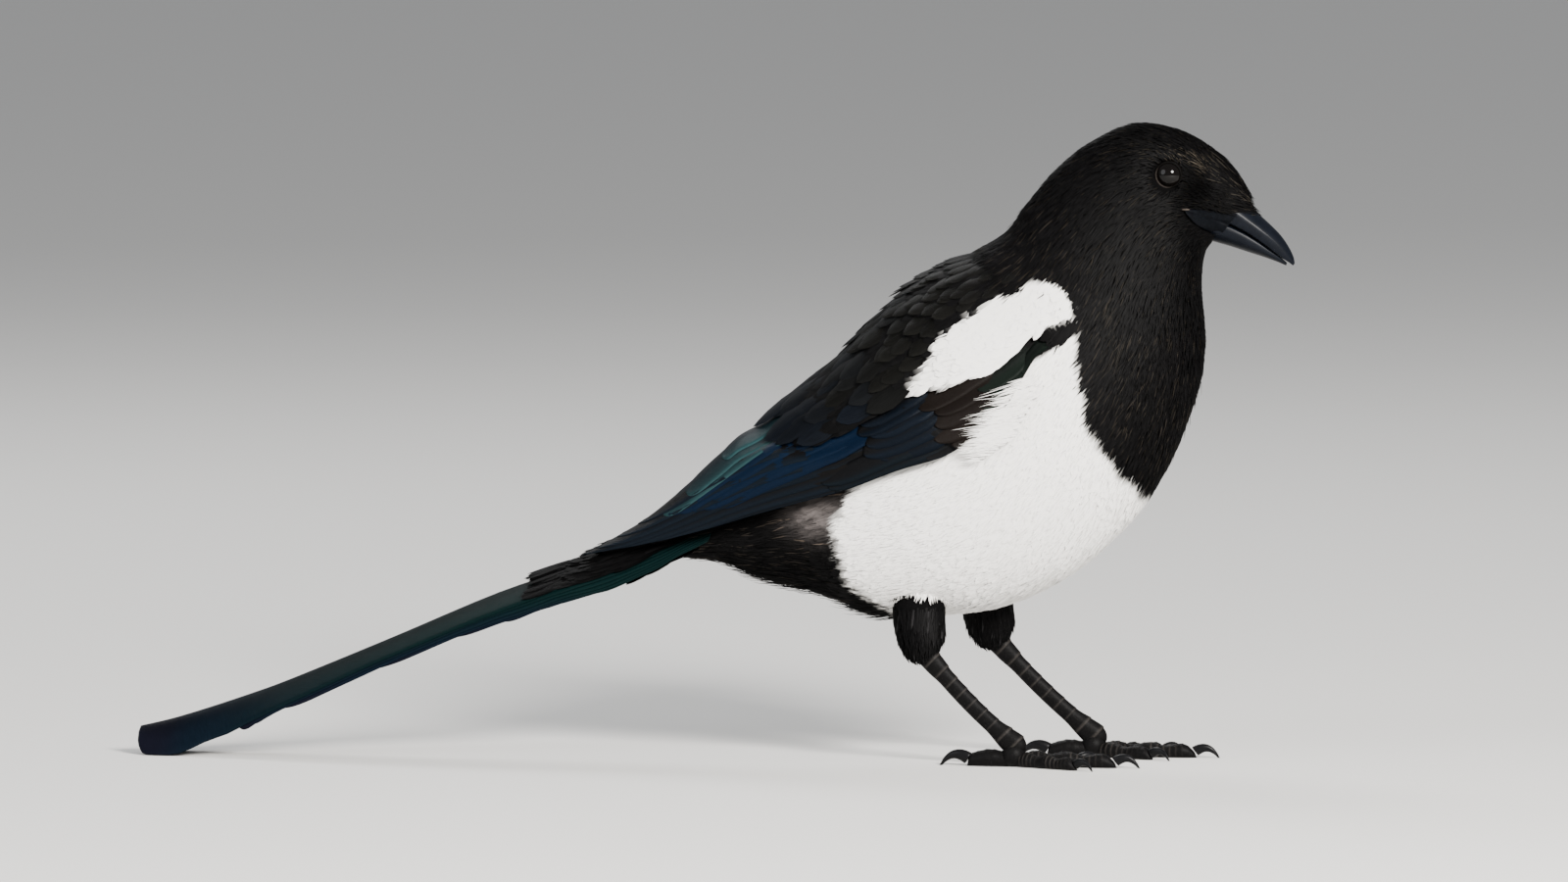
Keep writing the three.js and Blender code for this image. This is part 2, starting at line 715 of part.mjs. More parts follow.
// A toe from the foot's hub outwards, flat underneath, with its pads as gentle swellings
function toe({ foot, turn }, hand, { heading, length, thick, end, pads }) {
  const way = toeWay(turn, hand, heading);
  const start = point(foot[0], foot[1], 0);
  const rows = pads * 2 + 2;
  const rings = Array.from({ length: rows }, (_, i) => {
    const s = i / (rows - 1);
    const swell = 1 + 0.09 * Math.cos(2 * Math.PI * pads * s + Math.PI);
    const radius = (mix(thick, end, s) / 2) * swell;
    const centre = start.clone().addScaledVector(way, 2 + s * (length - 2));
    centre.z = radius - SOLE;
    return limbRing(centre, way, radius, radius, 8);
  });
  return loft(rings).trimByPlane([0, 0, 1], 0);
}

function toeWay(turn, hand, heading) {
  const angle = radians(turn + hand * heading);
  return point(Math.cos(angle), Math.sin(angle), 0);
}

// A front toe, cut clear of its neighbours along the lines halfway between them
function apart(solid, { foot, turn }, hand, digit) {
  const edges = { middle: ["inner", "outer"], inner: ["middle"], outer: ["middle"], hind: [] };
  return edges[digit].reduce((rest, next) => {
    const own = toeWay(turn, hand, TOES[digit].heading);
    const other = toeWay(turn, hand, TOES[next].heading);
    const normal = own.clone().sub(other).normalize();
    return rest.trimByPlane(normal.toArray(), normal.x * foot[0] + normal.y * foot[1] + GAP / 2);
  }, solid);
}

// A claw that starts on the toe's end face and curls down to the ground
function claw({ foot, turn }, hand, { heading, length, end, claw: reach, clawThick }) {
  const way = toeWay(turn, hand, heading);
  const root = point(foot[0], foot[1], end / 2 - SOLE + 0.5).addScaledVector(way, length + GAP);
  const rings = [0, 0.25, 0.5, 0.76, 0.98].map((s) => {
    const bend = radians(mix(-22, 78, s));
    const centre = root
      .clone()
      .addScaledVector(way, reach * (s - 0.12 * s * s))
      .add(point(0, 0, reach * (0.42 * s - 0.66 * s * s)));
    const radius = (clawThick / 2) * (1 - 0.86 * s);
    const direction = way.clone().multiplyScalar(Math.cos(bend)).add(point(0, 0, -Math.sin(bend)));
    return limbRing(centre, s === 0 ? way : direction, radius * 1.1, radius * 0.8, 6);
  });
  return loft(rings).trimByPlane([0, 0, 1], 0);
}

// Finishes

const FINISHES = {
  black: { color: 0x15161a, roughness: 0.75 },
  white: { color: 0xf2efe8, roughness: 0.85 },
  flight: { color: 0x142a45, roughness: 0.45 },
  tail: { color: 0x12302f, roughness: 0.4 },
  bill: { color: 0x1b1e25, roughness: 0.35 },
  eye: { color: 0x120d0b, roughness: 0.08 },
  leg: { color: 0x1c1b1d, roughness: 0.6 },
};

const magpie = new THREE.Group();
const made = new Map();

function add(name, solid, finish) {
  const whole = largest(solid);
  made.set(name, whole);
  const { vertProperties, triVerts, numProp } = whole.getMesh();
  const count = vertProperties.length / numProp;
  const positions = new Float32Array(count * 3);
  for (let i = 0; i < count; i++) {
    positions.set(vertProperties.subarray(i * numProp, i * numProp + 3), i * 3);
  }
  const geometry = new THREE.BufferGeometry();
  geometry.setAttribute("position", new THREE.BufferAttribute(positions, 3));
  geometry.setIndex(new THREE.BufferAttribute(triVerts, 1));
  geometry.computeVertexNormals();
  const mesh = new THREE.Mesh(geometry, new THREE.MeshStandardMaterial({ ...FINISHES[finish], metalness: 0 }));
  mesh.name = name;
  magpie.add(mesh);
}

// The trunk is cut clear of the wings and patches, and then parted.
const rooms = [mantleRoom()];
for (const hand of Object.values(SIDES)) rooms.push(wingRoom(hand), shoulderRoom(hand));
const body = trunk().subtract(union(rooms));

const tailPlane = sidePlane([TAIL_CUT.x, TAIL_CUT.z], [TAIL_CUT.x + TAIL_CUT.slope, TAIL_CUT.z - 1]);
const headPlane = sidePlane([36, 218], [79, 172]);
const neckPlane = sidePlane([3.5, 183], [80, 149]);
const bibPlane = sidePlane([30, 168], [56.5, 92.5]);
const wingLine = sidePlane([-96, 79.5], [30, 154]);
const ventPlane = sidePlane([-57, 100], [-29, 47]);

const forward = side(body, tailPlane, 1);
const skull = side(forward, headPlane, 1);
const behindHead = side(forward, headPlane, -1);
const neck = side(behindHead, neckPlane, 1);
const chest = side(behindHead, neckPlane, -1);
const breast = side(chest, bibPlane, 1);
const behindBib = side(chest, bibPlane, -1);
const below = side(behindBib, wingLine, -1);
const sockets = Object.values(SIDES).map((hand) => ball(eyeCentre(hand), EYE.radius + GAP, 14));
const rims = Object.values(SIDES).map((hand) => lids(hand));
const bill = { bill_upper: billHalf(BILL_UPPER, 1), bill_lower: billHalf(BILL_LOWER, -1) };

add("head", union([skull, ...rims]).subtract(union(sockets)), "black");
add("neck", neck, "black");
add("breast", breast, "black");
add("back", side(behindBib, wingLine, 1), "black");
add("belly", side(below, ventPlane, 1), "white");
add("vent", side(below, ventPlane, -1), "black");
add("mantle", mantle(), "black");

const grownBody = trunk(GAP);
for (const [name, half] of Object.entries(bill)) {
  add(name, half.subtract(grownBody), "bill");
}
for (const [word, hand] of Object.entries(SIDES)) {
  add(`eye_${word}`, ball(eyeCentre(hand), EYE.radius, 14), "eye");
  add(`scapulars_${word}`, shoulder(hand), "white");
  add(`wing_${word}`, wing(hand), "flight");
}

const stump = side(trunk(), tailPlane, -1);
const wingRooms = union(Object.values(SIDES).map((hand) => wingRoom(hand)));
add("tail", side(tail(stump).subtract(wingRooms), tailPlane, -1), "tail");

for (const [word, hand] of Object.entries(SIDES)) {
  const leg = LEGS[word];
  const shin = shank(leg);
  add(`thigh_${word}`, thigh(leg).subtract(grownBody), "black");
  const thighRoom = thigh({ hip: leg.hip, ankle: leg.ankle });
  add(`tarsus_${word}`, shin.subtract(grow(thighRoom, leg)), "leg");
  const hub = ball(point(leg.foot[0] - 0.4, leg.foot[1], HUB.z), HUB.radius + GAP, 10);
  for (const [digit, sizes] of Object.entries(TOES)) {
    add(`toe_${digit}_${word}`, apart(toe(leg, hand, sizes), leg, hand, digit).subtract(hub), "leg");
    add(`claw_${digit}_${word}`, claw(leg, hand, sizes), "bill");
  }
}

// The thigh a little larger, so that what is cut by it keeps the gap
function grow(solid, { hip, ankle }) {
  const centre = point(...hip).lerp(point(...ankle), 0.6);
  const factor = 1 + (2 * GAP) / 10;
  return solid
    .translate([-centre.x, -centre.y, -centre.z])
    .scale([factor, factor, factor])
    .translate([centre.x, centre.y, centre.z]);
}

// The frame's origin is on the ground under the middle of the whole bird.
const box = new THREE.Box3().setFromObject(magpie);
magpie.position.set(-(box.min.x + box.max.x) / 2, -(box.min.y + box.max.y) / 2, -box.min.z);

export default magpie;
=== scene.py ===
"""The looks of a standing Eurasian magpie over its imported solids: skin, feathers, bill, eyes and feet."""

import math
from itertools import product

import bpy
import numpy as np
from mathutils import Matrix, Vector, kdtree


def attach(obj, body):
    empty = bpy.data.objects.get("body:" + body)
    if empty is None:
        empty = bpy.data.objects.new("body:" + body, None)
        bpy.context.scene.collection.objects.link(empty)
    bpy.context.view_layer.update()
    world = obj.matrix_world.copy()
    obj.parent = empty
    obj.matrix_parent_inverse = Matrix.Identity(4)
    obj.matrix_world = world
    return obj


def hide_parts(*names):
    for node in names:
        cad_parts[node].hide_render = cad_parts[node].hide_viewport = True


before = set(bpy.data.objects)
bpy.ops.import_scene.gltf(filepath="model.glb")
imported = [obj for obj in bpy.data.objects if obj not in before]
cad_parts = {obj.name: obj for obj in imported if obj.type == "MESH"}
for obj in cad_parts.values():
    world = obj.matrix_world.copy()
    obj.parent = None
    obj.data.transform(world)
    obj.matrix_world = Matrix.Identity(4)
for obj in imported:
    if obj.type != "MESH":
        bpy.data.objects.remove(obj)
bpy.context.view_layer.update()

SHIFT = 93.46  # millimetres from the tables' X to the frame's
RNG = np.random.default_rng(11)
HANDS = {"right": -1, "left": 1}

# The same forms and stance as the solids, in millimetres
# The trunk's ribs: back X and Z, belly X and Z, half width, how much wider they are above than below
RIBS = np.array([
    [94.0, 198.9, 82.2, 184.0, 7.6, -0.1], [90.2, 207.3, 79.8, 180.6, 11.3, -0.1],
    [82.0, 216.3, 78.6, 176.4, 14.8, -0.1], [69.8, 222.9, 78.1, 170.6, 17.6, -0.06],
    [55.5, 225.0, 78.3, 164.6, 19.6, 0.0], [41.6, 220.0, 79.0, 157.6, 21.2, 0.0],
    [29.5, 211.4, 79.4, 149.6, 23.6, 0.0], [19.1, 200.4, 78.5, 138.4, 27.2, 0.0],
    [8.9, 187.6, 74.9, 124.4, 31.5, 0.02], [-5.0, 179.0, 68.0, 107.0, 36.0, 0.04],
    [-20.8, 171.0, 56.2, 87.6, 39.5, 0.04], [-34.7, 159.2, 36.4, 68.4, 40.5, 0.02],
    [-46.8, 145.9, 13.9, 56.1, 39.5, 0.0], [-57.2, 135.5, -10.4, 51.1, 36.5, -0.04],
    [-65.8, 123.4, -33.0, 50.9, 32.0, -0.08], [-75.0, 110.5, -53.8, 57.7, 25.5, -0.1],
    [-83.6, 99.0, -72.8, 62.6, 19.0, -0.05], [-93.0, 89.0, -90.2, 68.6, 14.0, 0.0],
    [-104.5, 80.5, -106.5, 70.9, 11.0, 0.0],
])
# The shell that wings and mantle lie on: ridge X and Z, rim X and Z, half width
SHELL = np.array([
    [13.9, 190.7, 44.9, 156.8, 31.5], [3.5, 182.5, 35.7, 142.6, 36.8],
    [-8.7, 177.6, 23.4, 127.9, 41.0], [-20.8, 171.0, 9.8, 119.2, 43.5],
    [-34.7, 159.2, -7.5, 110.6, 44.0], [-46.8, 146.9, -25.1, 105.1, 42.0],
    [-57.2, 138.2, -42.8, 98.2, 38.5], [-67.6, 129.8, -58.9, 93.5, 34.0],
    [-79.8, 119.4, -75.9, 88.5, 28.5], [-91.9, 108.8, -90.7, 83.7, 23.5],
    [-104.1, 97.4, -105.0, 79.6, 19.0], [-116.2, 87.0, -119.2, 76.2, 15.5],
    [-128.4, 79.3, -129.9, 74.2, 12.8], [-137.7, 73.7, -138.5, 72.4, 10.5],
])
STATION = 17  # about how far apart the shell's rows are
# Borders on the shell: stations, and degrees down from the ridge
MANTLE_EDGE = [
    (0.15, 64), (0.8, 51.5), (1.5, 46.5), (2.2, 48), (3, 50.5), (3.6, 56.5), (4.5, 61), (5, 62.5), (6, 63.5),
    (7, 57), (7.6, 36)
]
COVER_EDGE = [
    (0.15, 69), (0.5, 80), (1.05, 73), (1.5, 71.5), (2.65, 71), (3.5, 68), (4.3, 62), (5, 63.5), (6, 64.5),
    (7, 59), (7.6, 40)
]
WING_TOP = [(0.75, 62), (1.5, 50), (3, 38), (4, 28), (5, 16), (6, 7), (6.6, 2.2), (13.4, 2.2)]
WING_BOTTOM = [(0.75, 81), (1.1, 78.5), (1.5, 77), (2, 80), (2.7, 85.5), (4, 90), (13.4, 90)]
# The tail's arch: top X and Z, how far its sides hang, half width
TAIL = np.array([
    [-84, 89.0, 4.0, 12.0], [-97, 83.4, 5.5, 14.0], [-108, 78.6, 6.8, 15.2], [-122, 73.4, 7.6, 16.4],
    [-139, 68.8, 8.8, 17.2], [-152.6, 64.4, 9.6, 17.4], [-173.5, 57.0, 10.4, 17.2],
    [-208.1, 42.1, 10.4, 16.4], [-242.8, 27.6, 11.4, 14.6], [-256.7, 22.3, 12.6, 13.0],
    [-270.6, 17.5, 13.6, 12.0], [-284.5, 13.2, 14.4, 11.0], [-298.0, 9.8, 12.0, 10.0],
])
# Pairs of tail feathers from the middle outwards: tip station, place sideways, half width
TAIL_FEATHERS = [
    (12, 3.2, 11.6), (9.3, 5.4, 9.8), (8.15, 6.8, 9.4), (7.2, 8.0, 9.0), (6.4, 8.9, 8.6), (5.75, 9.6, 8.0)
]
# The bill's halves: upper edge X and Z, lower edge X and Z, half width
BILL_UPPER = np.array([
    [86.0, 201.5, 79.5, 192.8, 6.5], [92.0, 198.7, 85.8, 190.5, 6.4], [97.1, 194.0, 92.3, 187.5, 5.7],
    [102.0, 189.6, 97.8, 184.1, 4.9], [105.8, 185.7, 102.1, 180.9, 3.8], [108.6, 181.6, 105.8, 178.1, 2.6],
    [110.2, 178.2, 108.6, 176.3, 1.4], [110.6, 175.9, 110.0, 175.2, 0.45],
])
BILL_LOWER = np.array([
    [79.4, 192.4, 74.6, 186.0, 5.9], [85.6, 190.1, 81.0, 183.8, 5.8], [92.1, 187.1, 88.4, 181.7, 5.2],
    [97.6, 183.7, 95.0, 179.6, 4.4], [101.9, 180.5, 100.4, 177.9, 3.3], [105.6, 177.7, 104.9, 176.3, 1.9],
    [107.9, 175.8, 107.6, 175.2, 0.5],
])
# The eyes, and the lids round them with their half depth and half thickness
EYE = {"x": 67.4, "z": 207.6, "y": 12.3, "radius": 5.2}
LID_RING = {"y": 15.2, "radius": 4.42, "deep": 0.55, "thick": 0.34}
# Where each leg's joints stand, and the way its foot points in degrees
LEGS = {
    "right": {"hip": (-17.5, -16.0, 60.0), "ankle": (-15.0, -19.5, 36.4), "foot": (14.3, -21.5, 7.4)},
    "left": {"hip": (3.0, 16.0, 62.0), "ankle": (6.4, 19.5, 38.2), "foot": (38.7, 21.5, 7.4)},
}
FOOT_TURN = {"right": -2, "left": -4}
# The thigh: share of the way down, half depth, half width, how far it lies back
THIGH = np.array([
    [-0.1, 11.0, 7.6, 3.0], [0.3, 9.8, 7.4, 2.8], [0.55, 9.0, 6.8, 2.6],
    [0.76, 7.2, 5.6, 2.6], [0.9, 5.2, 4.2, 2.2], [1.0, 3.3, 3.0, 1.0],
])
HUB = {"radius": 4.3, "height": 4.0}
# Toes: heading in degrees, length, thickness at root and end, claw's reach and thickness, pads
TOES = {
    "middle": (2, 36, 5.3, 4.4, 10.5, 2.7, 3),
    "inner": (-26, 24.5, 5.0, 4.2, 9.5, 2.5, 2),
    "outer": (30, 27, 4.8, 4.0, 9.0, 2.4, 3),
    "hind": (184, 17, 5.8, 5.0, 12.5, 3.2, 1),
}
SOLE = 0.45  # how far the soles are pressed flat

# The horn at the gape in side view: its borders, its corner and the heights of its front
GAPE_TOP = [(73.4, 196.0), (78, 195.4), (83.5, 194.5), (93, 192.2)]
GAPE_EDGE = [(73.4, 195.2), (75.5, 192.6), (78.4, 189.0), (82, 186.0), (93, 184.0)]
GAPE_CORNER = {"x": 73.4, "low": 195.2, "high": 196.0}
GAPE_FRONT = {"low": 184.8, "high": 193.6}
# Borders of the markings in side view, X and Z
BIB = [(34, 178), (35.6, 151), (37.7, 132), (40.1, 118.5), (45, 109.5), (55, 97), (60, 90)]
VENT = [(-42.4, 97), (-49.5, 83), (-46, 66), (-39, 59), (-27, 50)]

# How the face narrows towards the bill: stations and shares of the ribs' half widths
FACE = [(0, 0.97), (0.6, 0.87), (1.3, 0.82), (2.0, 0.86), (2.6, 0.93), (3.2, 0.98), (4, 1.0)]

BLACK = np.array([0.0026, 0.0025, 0.0026])
WHITE = np.array([0.90, 0.88, 0.845])
FLUFF = np.array([0.105, 0.092, 0.088])


# Numbers


def smooth(table, places):
    """Rows of a table at fractional places, on a smooth curve through its rows."""
    t = np.clip(np.asarray(places, float), 0, len(table) - 1)
    i = np.minimum(t.astype(int), len(table) - 2)
    u = (t - i)[..., None]
    a, b = table[np.maximum(i - 1, 0)], table[i]
    d, e = table[i + 1], table[np.minimum(i + 2, len(table) - 1)]
    inner, outer = (d - a) / 2, (e - b) / 2
    return (
        (2 * u**3 - 3 * u**2 + 1) * b
        + (u**3 - 2 * u**2 + u) * inner
        + (3 * u**2 - 2 * u**3) * d
        + (u**3 - u**2) * outer
    )


def along(pairs, x):
    """Straight steps through pairs of a place and a value."""
    xs, ys = zip(*pairs)
    return np.interp(x, xs, ys)


def step(x, low, high):
    """A smooth rise from 0 at low to 1 at high."""
    u = np.clip((np.asarray(x, float) - low) / (high - low), 0, 1)
    return u * u * (3 - 2 * u)


def mix(a, b, share):
    return a + (b - a) * share


def bell(x, width):
    """1 at 0, falling off to both sides."""
    return np.exp(-((x / width) ** 2))


def grid(first, second):
    """Two grids of numbers, each from a start, an end and a count."""
    return np.meshgrid(np.linspace(*first), np.linspace(*second), indexing="ij")


def dot(a, b):
    return np.sum(a * b, axis=-1, keepdims=True)


def unit(v):
    return v / np.maximum(np.linalg.norm(v, axis=-1, keepdims=True), 1e-9)


def laid(way, out):
    """Ways bent down to a surface with these outward lines."""
    return unit(way - out * dot(way, out))


def stack(*columns):
    """Points from numbers or grids of numbers."""
    return np.stack(np.broadcast_arrays(*columns), axis=-1)


def noise(points, size, seed):
    """Smooth values from -1 to 1 over space, from a few waves of about that size."""
    rng = np.random.default_rng(seed)
    total = 0
    for _ in range(7):
        way = unit(rng.normal(size=3)) * rng.uniform(0.6, 1.6) / size
        total = total + np.sin(points @ way * 2 * np.pi + rng.uniform(0, 6.3))
    return total / 4


# Surfaces, in the tables' millimetres


def rib(place, turn):
    """A point of the trunk; turn 0 is the back's middle and pi the belly's."""
    bx, bz, vx, vz, half, high = np.moveaxis(smooth(RIBS, place), -1, 0)
    half = half * along(FACE, place)
    c, s = np.cos(turn), np.sin(turn)
    return stack(
        (bx + vx) / 2 + (bx - vx) / 2 * c, half * s * (1 + high * c), (bz + vz) / 2 + (bz - vz) / 2 * c
    )


def framed(surface, a, b, step_a=0.01, step_b=0.01):
    """Points of a surface with unit vectors along its first number and outwards."""
    here = surface(a, b)
    ahead = unit(surface(a + step_a, b) - surface(a - step_a, b))
    around = surface(a, b + step_b) - surface(a, b - step_b)
    return here, ahead, unit(np.cross(ahead, around))


def trunk_frame(place, turn):
    """Points of the trunk, the way to the tail and the way outwards."""
    here, ahead, out = framed(rib, place, turn)
    bx, bz, vx, vz, _, _ = np.moveaxis(smooth(RIBS, place), -1, 0)
    sign = np.sign(dot(out, here - stack((bx + vx) / 2, 0, (bz + vz) / 2)))
    return here, ahead, out * np.where(sign == 0, 1, sign)


def shell_at(place, degrees):
    """A point of the shell; negative degrees are the right side."""
    # Past its last row the shell runs on straight.
    over = np.maximum(np.asarray(place, float) - (len(SHELL) - 1), 0)
    bx, bz, mx, mz, half = np.moveaxis(smooth(SHELL, place), -1, 0)
    angle = np.radians(np.abs(degrees))
    f = 1 - np.cos(angle)
    last = SHELL[-1] - SHELL[-2]
    return stack(
        bx + (mx - bx) * f + over * last[0],
        np.sign(degrees) * half * np.sin(angle),
        bz + (mz - bz) * f + over * last[1] * 0.6,
    )


def shell_frame(place, degrees):
    """Points of the shell, the way to the tail and the way outwards."""
    here, ahead, out = framed(shell_at, place, degrees, 0.02, 0.5)
    angle = np.radians(degrees)
    return here, ahead, out * np.sign(dot(out, stack(0, np.sin(angle), np.cos(angle) + 0.1)))


def shell(place, degrees, depth):
    """Points below the shell by a depth."""
    here, _, out = shell_frame(place, degrees)
    return here - out * np.asarray(depth)[..., None]


def floored(points, level=0.0):
    """The points, those below a level raised to it."""
    points[..., 2] = np.maximum(points[..., 2], level)
    return points


def covered(place, degrees):
    """1 where mantle and shoulder feathers lie over the wing, 0 where it is open."""
    inside = 1 - step(np.abs(degrees) - along(COVER_EDGE, place), 2, 11)
    return inside * (1 - step(place, 7.7, 8.5))


def wing_face(place, degrees):
    """How deep the wing's face lies below the shell."""
    return mix(0.5, 3.1, covered(place, degrees))


def tail_at(place, across, depth):
    """A point below the tail's arch by a depth, and across from its middle."""
    x, z, drop, half = np.moveaxis(smooth(TAIL, place), -1, 0)
    a, b = smooth(TAIL, place - 0.05), smooth(TAIL, place + 0.05)
    d = unit((b - a)[..., :2])
    fall = drop * np.minimum(np.abs(across) / half, 1.3) ** 1.5 + depth
    return stack(x + d[..., 1] * fall, across, z + d[..., 0] * fall)


# Meshes


def place_in_frame(points):
    return (np.asarray(points, float) + [SHIFT, 0, 0]) / 1000


def mesh_object(name, points, faces, tint=None, uv=None, lie=None, normals=None):
    """A mesh on the root body from points in millimetres and faces of 3 or 4 corners."""
    data = bpy.data.meshes.new(name)
    points = place_in_frame(points)
    corners = np.concatenate([np.asarray(f).ravel() for f in faces])
    sizes = np.concatenate([np.full(len(f), np.shape(f)[1]) for f in faces])
    data.vertices.add(len(points))
    data.vertices.foreach_set("co", points.astype(np.float32).ravel())
    data.loops.add(len(corners))
    data.loops.foreach_set("vertex_index", corners.astype(np.int32))
    data.polygons.add(len(sizes))
    starts = np.concatenate([[0], np.cumsum(sizes)[:-1]])
    data.polygons.foreach_set("loop_start", starts.astype(np.int32))
    data.polygons.foreach_set("loop_total", sizes.astype(np.int32))
    data.update(calc_edges=True)
    for label, values in (("OFBake", uv), ("lie", lie)):
        if values is not None:
            layer = data.uv_layers.new(name=label)
            layer.data.foreach_set("uv", np.asarray(values)[corners].astype(np.float32).ravel())
    if tint is not None:
        layer = data.color_attributes.new(name="tint", type="FLOAT_COLOR", domain="POINT")
        rgba = np.concatenate([np.asarray(tint), np.ones((len(points), 1))], axis=1)
        layer.data.foreach_set("color", rgba.astype(np.float32).ravel())
    data.validate()
    data.shade_smooth()
    if normals is not None:
        data.normals_split_custom_set_from_vertices(np.asarray(normals).tolist())
    made = bpy.data.objects.new(name, data)
    bpy.context.scene.collection.objects.link(made)
    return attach(made, "root")


def grid_faces(rows, columns, closed=False):
    """Quads of a grid of points, joined round where closed."""
    j = np.arange(columns if closed else columns - 1)
    i = np.arange(rows - 1)[:, None] * columns
    a, b = i + j, i + (j + 1) % columns
    return np.stack([a, b, b + columns, a + columns], axis=-1).reshape(-1, 4)


def tube(rings):
    """Points and faces of a closed tube through rings of one size."""
    rings = np.asarray(rings, float)
    rows, columns = rings.shape[:2]
    points = np.concatenate([rings.reshape(-1, 3), rings[0].mean(0)[None], rings[-1].mean(0)[None]])
    j = np.arange(columns)
    k = (j + 1) % columns
    first, last = rows * columns, rows * columns + 1
    end = (rows - 1) * columns
    caps = np.concatenate([
        np.stack([k, j, np.full(columns, first)], -1),
        np.stack([end + j, end + k, np.full(columns, last)], -1),
    ])
    return points, [grid_faces(rows, columns, True), caps]


def plate(outer, inner):
    """Points and faces of a closed plate between two grids of points."""
    rows, columns = outer.shape[:2]
    half = rows * columns
    points = np.concatenate([outer.reshape(-1, 3), inner.reshape(-1, 3)])
    top = grid_faces(rows, columns)
    i, j = np.arange(rows), np.arange(columns)
    rim = np.concatenate(
        [j[:-1], i[:-1] * columns + columns - 1, (rows - 1) * columns + j[:0:-1], i[:0:-1] * columns]
    )
    after = np.roll(rim, -1)
    wall = np.stack([rim, rim + half, after + half, after], -1)
    return points, [np.concatenate([top, top[:, ::-1] + half, wall])]


def turned_over(faces, over=True):
    """The faces with their other side out, or as they are."""
    return [f[:, ::-1] for f in faces] if over else faces


def joined(parts):
    """Several (points, faces, extras...) made one, with the extras joined too."""
    points, faces, extras, base = [], [], [], 0
    for one in parts:
        points.append(one[0])
        faces += [f + base for f in one[1]]
        extras.append(one[2:])
        base += len(one[0])
    return np.concatenate(points), faces, *[np.concatenate(e) for e in zip(*extras)]


# Materials


def material(name, roughness, specular, base=None, bump=0.0, streaks=None, scale=1.0, vary=0.0):
    """A procedural finish. Without a base colour it reads the piece's tint.

    Its grain follows the feathers where streaks are given, else it is even with the given scale.
    """
    made = bpy.data.materials.new(name)
    made.use_nodes = True
    links = made.node_tree.links

    def node(kind, **values):
        one = made.node_tree.nodes.new(f"ShaderNode{kind}")
        for label, value in values.items():
            one.inputs[label.replace("_", " ")].default_value = value
        return one

    shader = made.node_tree.nodes["Principled BSDF"].inputs
    shader["Roughness"].default_value = roughness
    shader["Specular IOR Level"].default_value = specular
    if base is None:
        source = node("VertexColor")
        source.layer_name = "tint"
        colour = source.outputs["Color"]
    else:
        colour = node("RGB").outputs[0]
        colour.default_value = (*base, 1)
    where = node("Mapping", Scale=(scale, scale, scale) if streaks is None else (*streaks, 1))
    if streaks is None:
        links.new(node("TexCoord").outputs["Object"], where.inputs["Vector"])
    else:
        place = node("UVMap")
        place.uv_map = "lie"
        links.new(place.outputs["UV"], where.inputs["Vector"])
    grain = node("TexNoise", Scale=1.0, Detail=3.0)
    links.new(where.outputs["Vector"], grain.inputs["Vector"])
    if vary:
        spread = node("MapRange", To_Min=1 - vary, To_Max=1 + vary, From_Min=0.3, From_Max=0.7)
        links.new(grain.outputs["Fac"], spread.inputs["Value"])
        times = node("VectorMath")
        times.operation = "SCALE"
        links.new(colour, times.inputs[0])
        links.new(spread.outputs["Result"], times.inputs["Scale"])
        colour = times.outputs["Vector"]
    links.new(colour, shader["Base Color"])
    if bump:
        relief = node("Bump", Strength=bump, Distance=0.0002)
        links.new(grain.outputs["Fac"], relief.inputs["Height"])
        links.new(relief.outputs["Normal"], shader["Normal"])
    return made


SKIN = material("skin", roughness=0.9, bump=0.3, scale=900, specular=0.02)
DOWN = material("body_feather", roughness=0.6, bump=0.12, streaks=(2, 14), vary=0.05, specular=0.03)
HAIR = material("head_feather", roughness=0.5, vary=0.15, streaks=(2, 4), specular=0.03)
PLUME = material("mantle_feather", roughness=0.5, bump=0.6, streaks=(3, 26), vary=0.35, specular=0.04)
VANE = material("flight_feather", roughness=0.42, bump=0.4, streaks=(5, 60), vary=0.3, specular=0.05)
TAIL_VANE = material("tail_feather", roughness=0.5, bump=0.4, streaks=(5, 60), vary=0.3, specular=0.025)
HORN = material(
    "horn", base=(0.0028, 0.0037, 0.0060), roughness=0.34, bump=0.1, scale=350, vary=0.2, specular=0.08
)
DULL_HORN = material(
    "dull_horn", base=(0.0022, 0.0026, 0.0036), roughness=0.55, bump=0.3, scale=500, vary=0.3, specular=0.03
)
CLAW = material(
    "claw", base=(0.004, 0.004, 0.0045), roughness=0.32, bump=0.2, scale=600, vary=0.2, specular=0.09
)
LEG = material("leg", roughness=0.5, bump=0.5, scale=1600, vary=0.2, specular=0.05)
EYE_WET = material("eye", base=(0.0022, 0.0018, 0.0016), roughness=0.04, scale=300, specular=0.17)
LID = material("lid", roughness=0.6, bump=0.5, scale=1500, vary=0.2, specular=0.05)
GAPE = material("gape", base=(0.05, 0.040, 0.033), roughness=0.5, scale=900, vary=0.2, specular=0.1)


def piece(name, points, faces, finish, slot, *nodes, **layers):
    """A piece with its finish, which replaces the named solids. Its slot is not used."""
    made = mesh_object(name, points, faces, **layers)
    made.data.materials.append(finish)
    if nodes:
        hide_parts(*nodes)


# Markings


def side_of(line, x, z):
    """Positive in front of a line that runs down in side view, in millimetres."""
    xs, zs = zip(*line)
    order = np.argsort(zs)
    return x - np.interp(z, np.array(zs)[order], np.array(xs)[order])


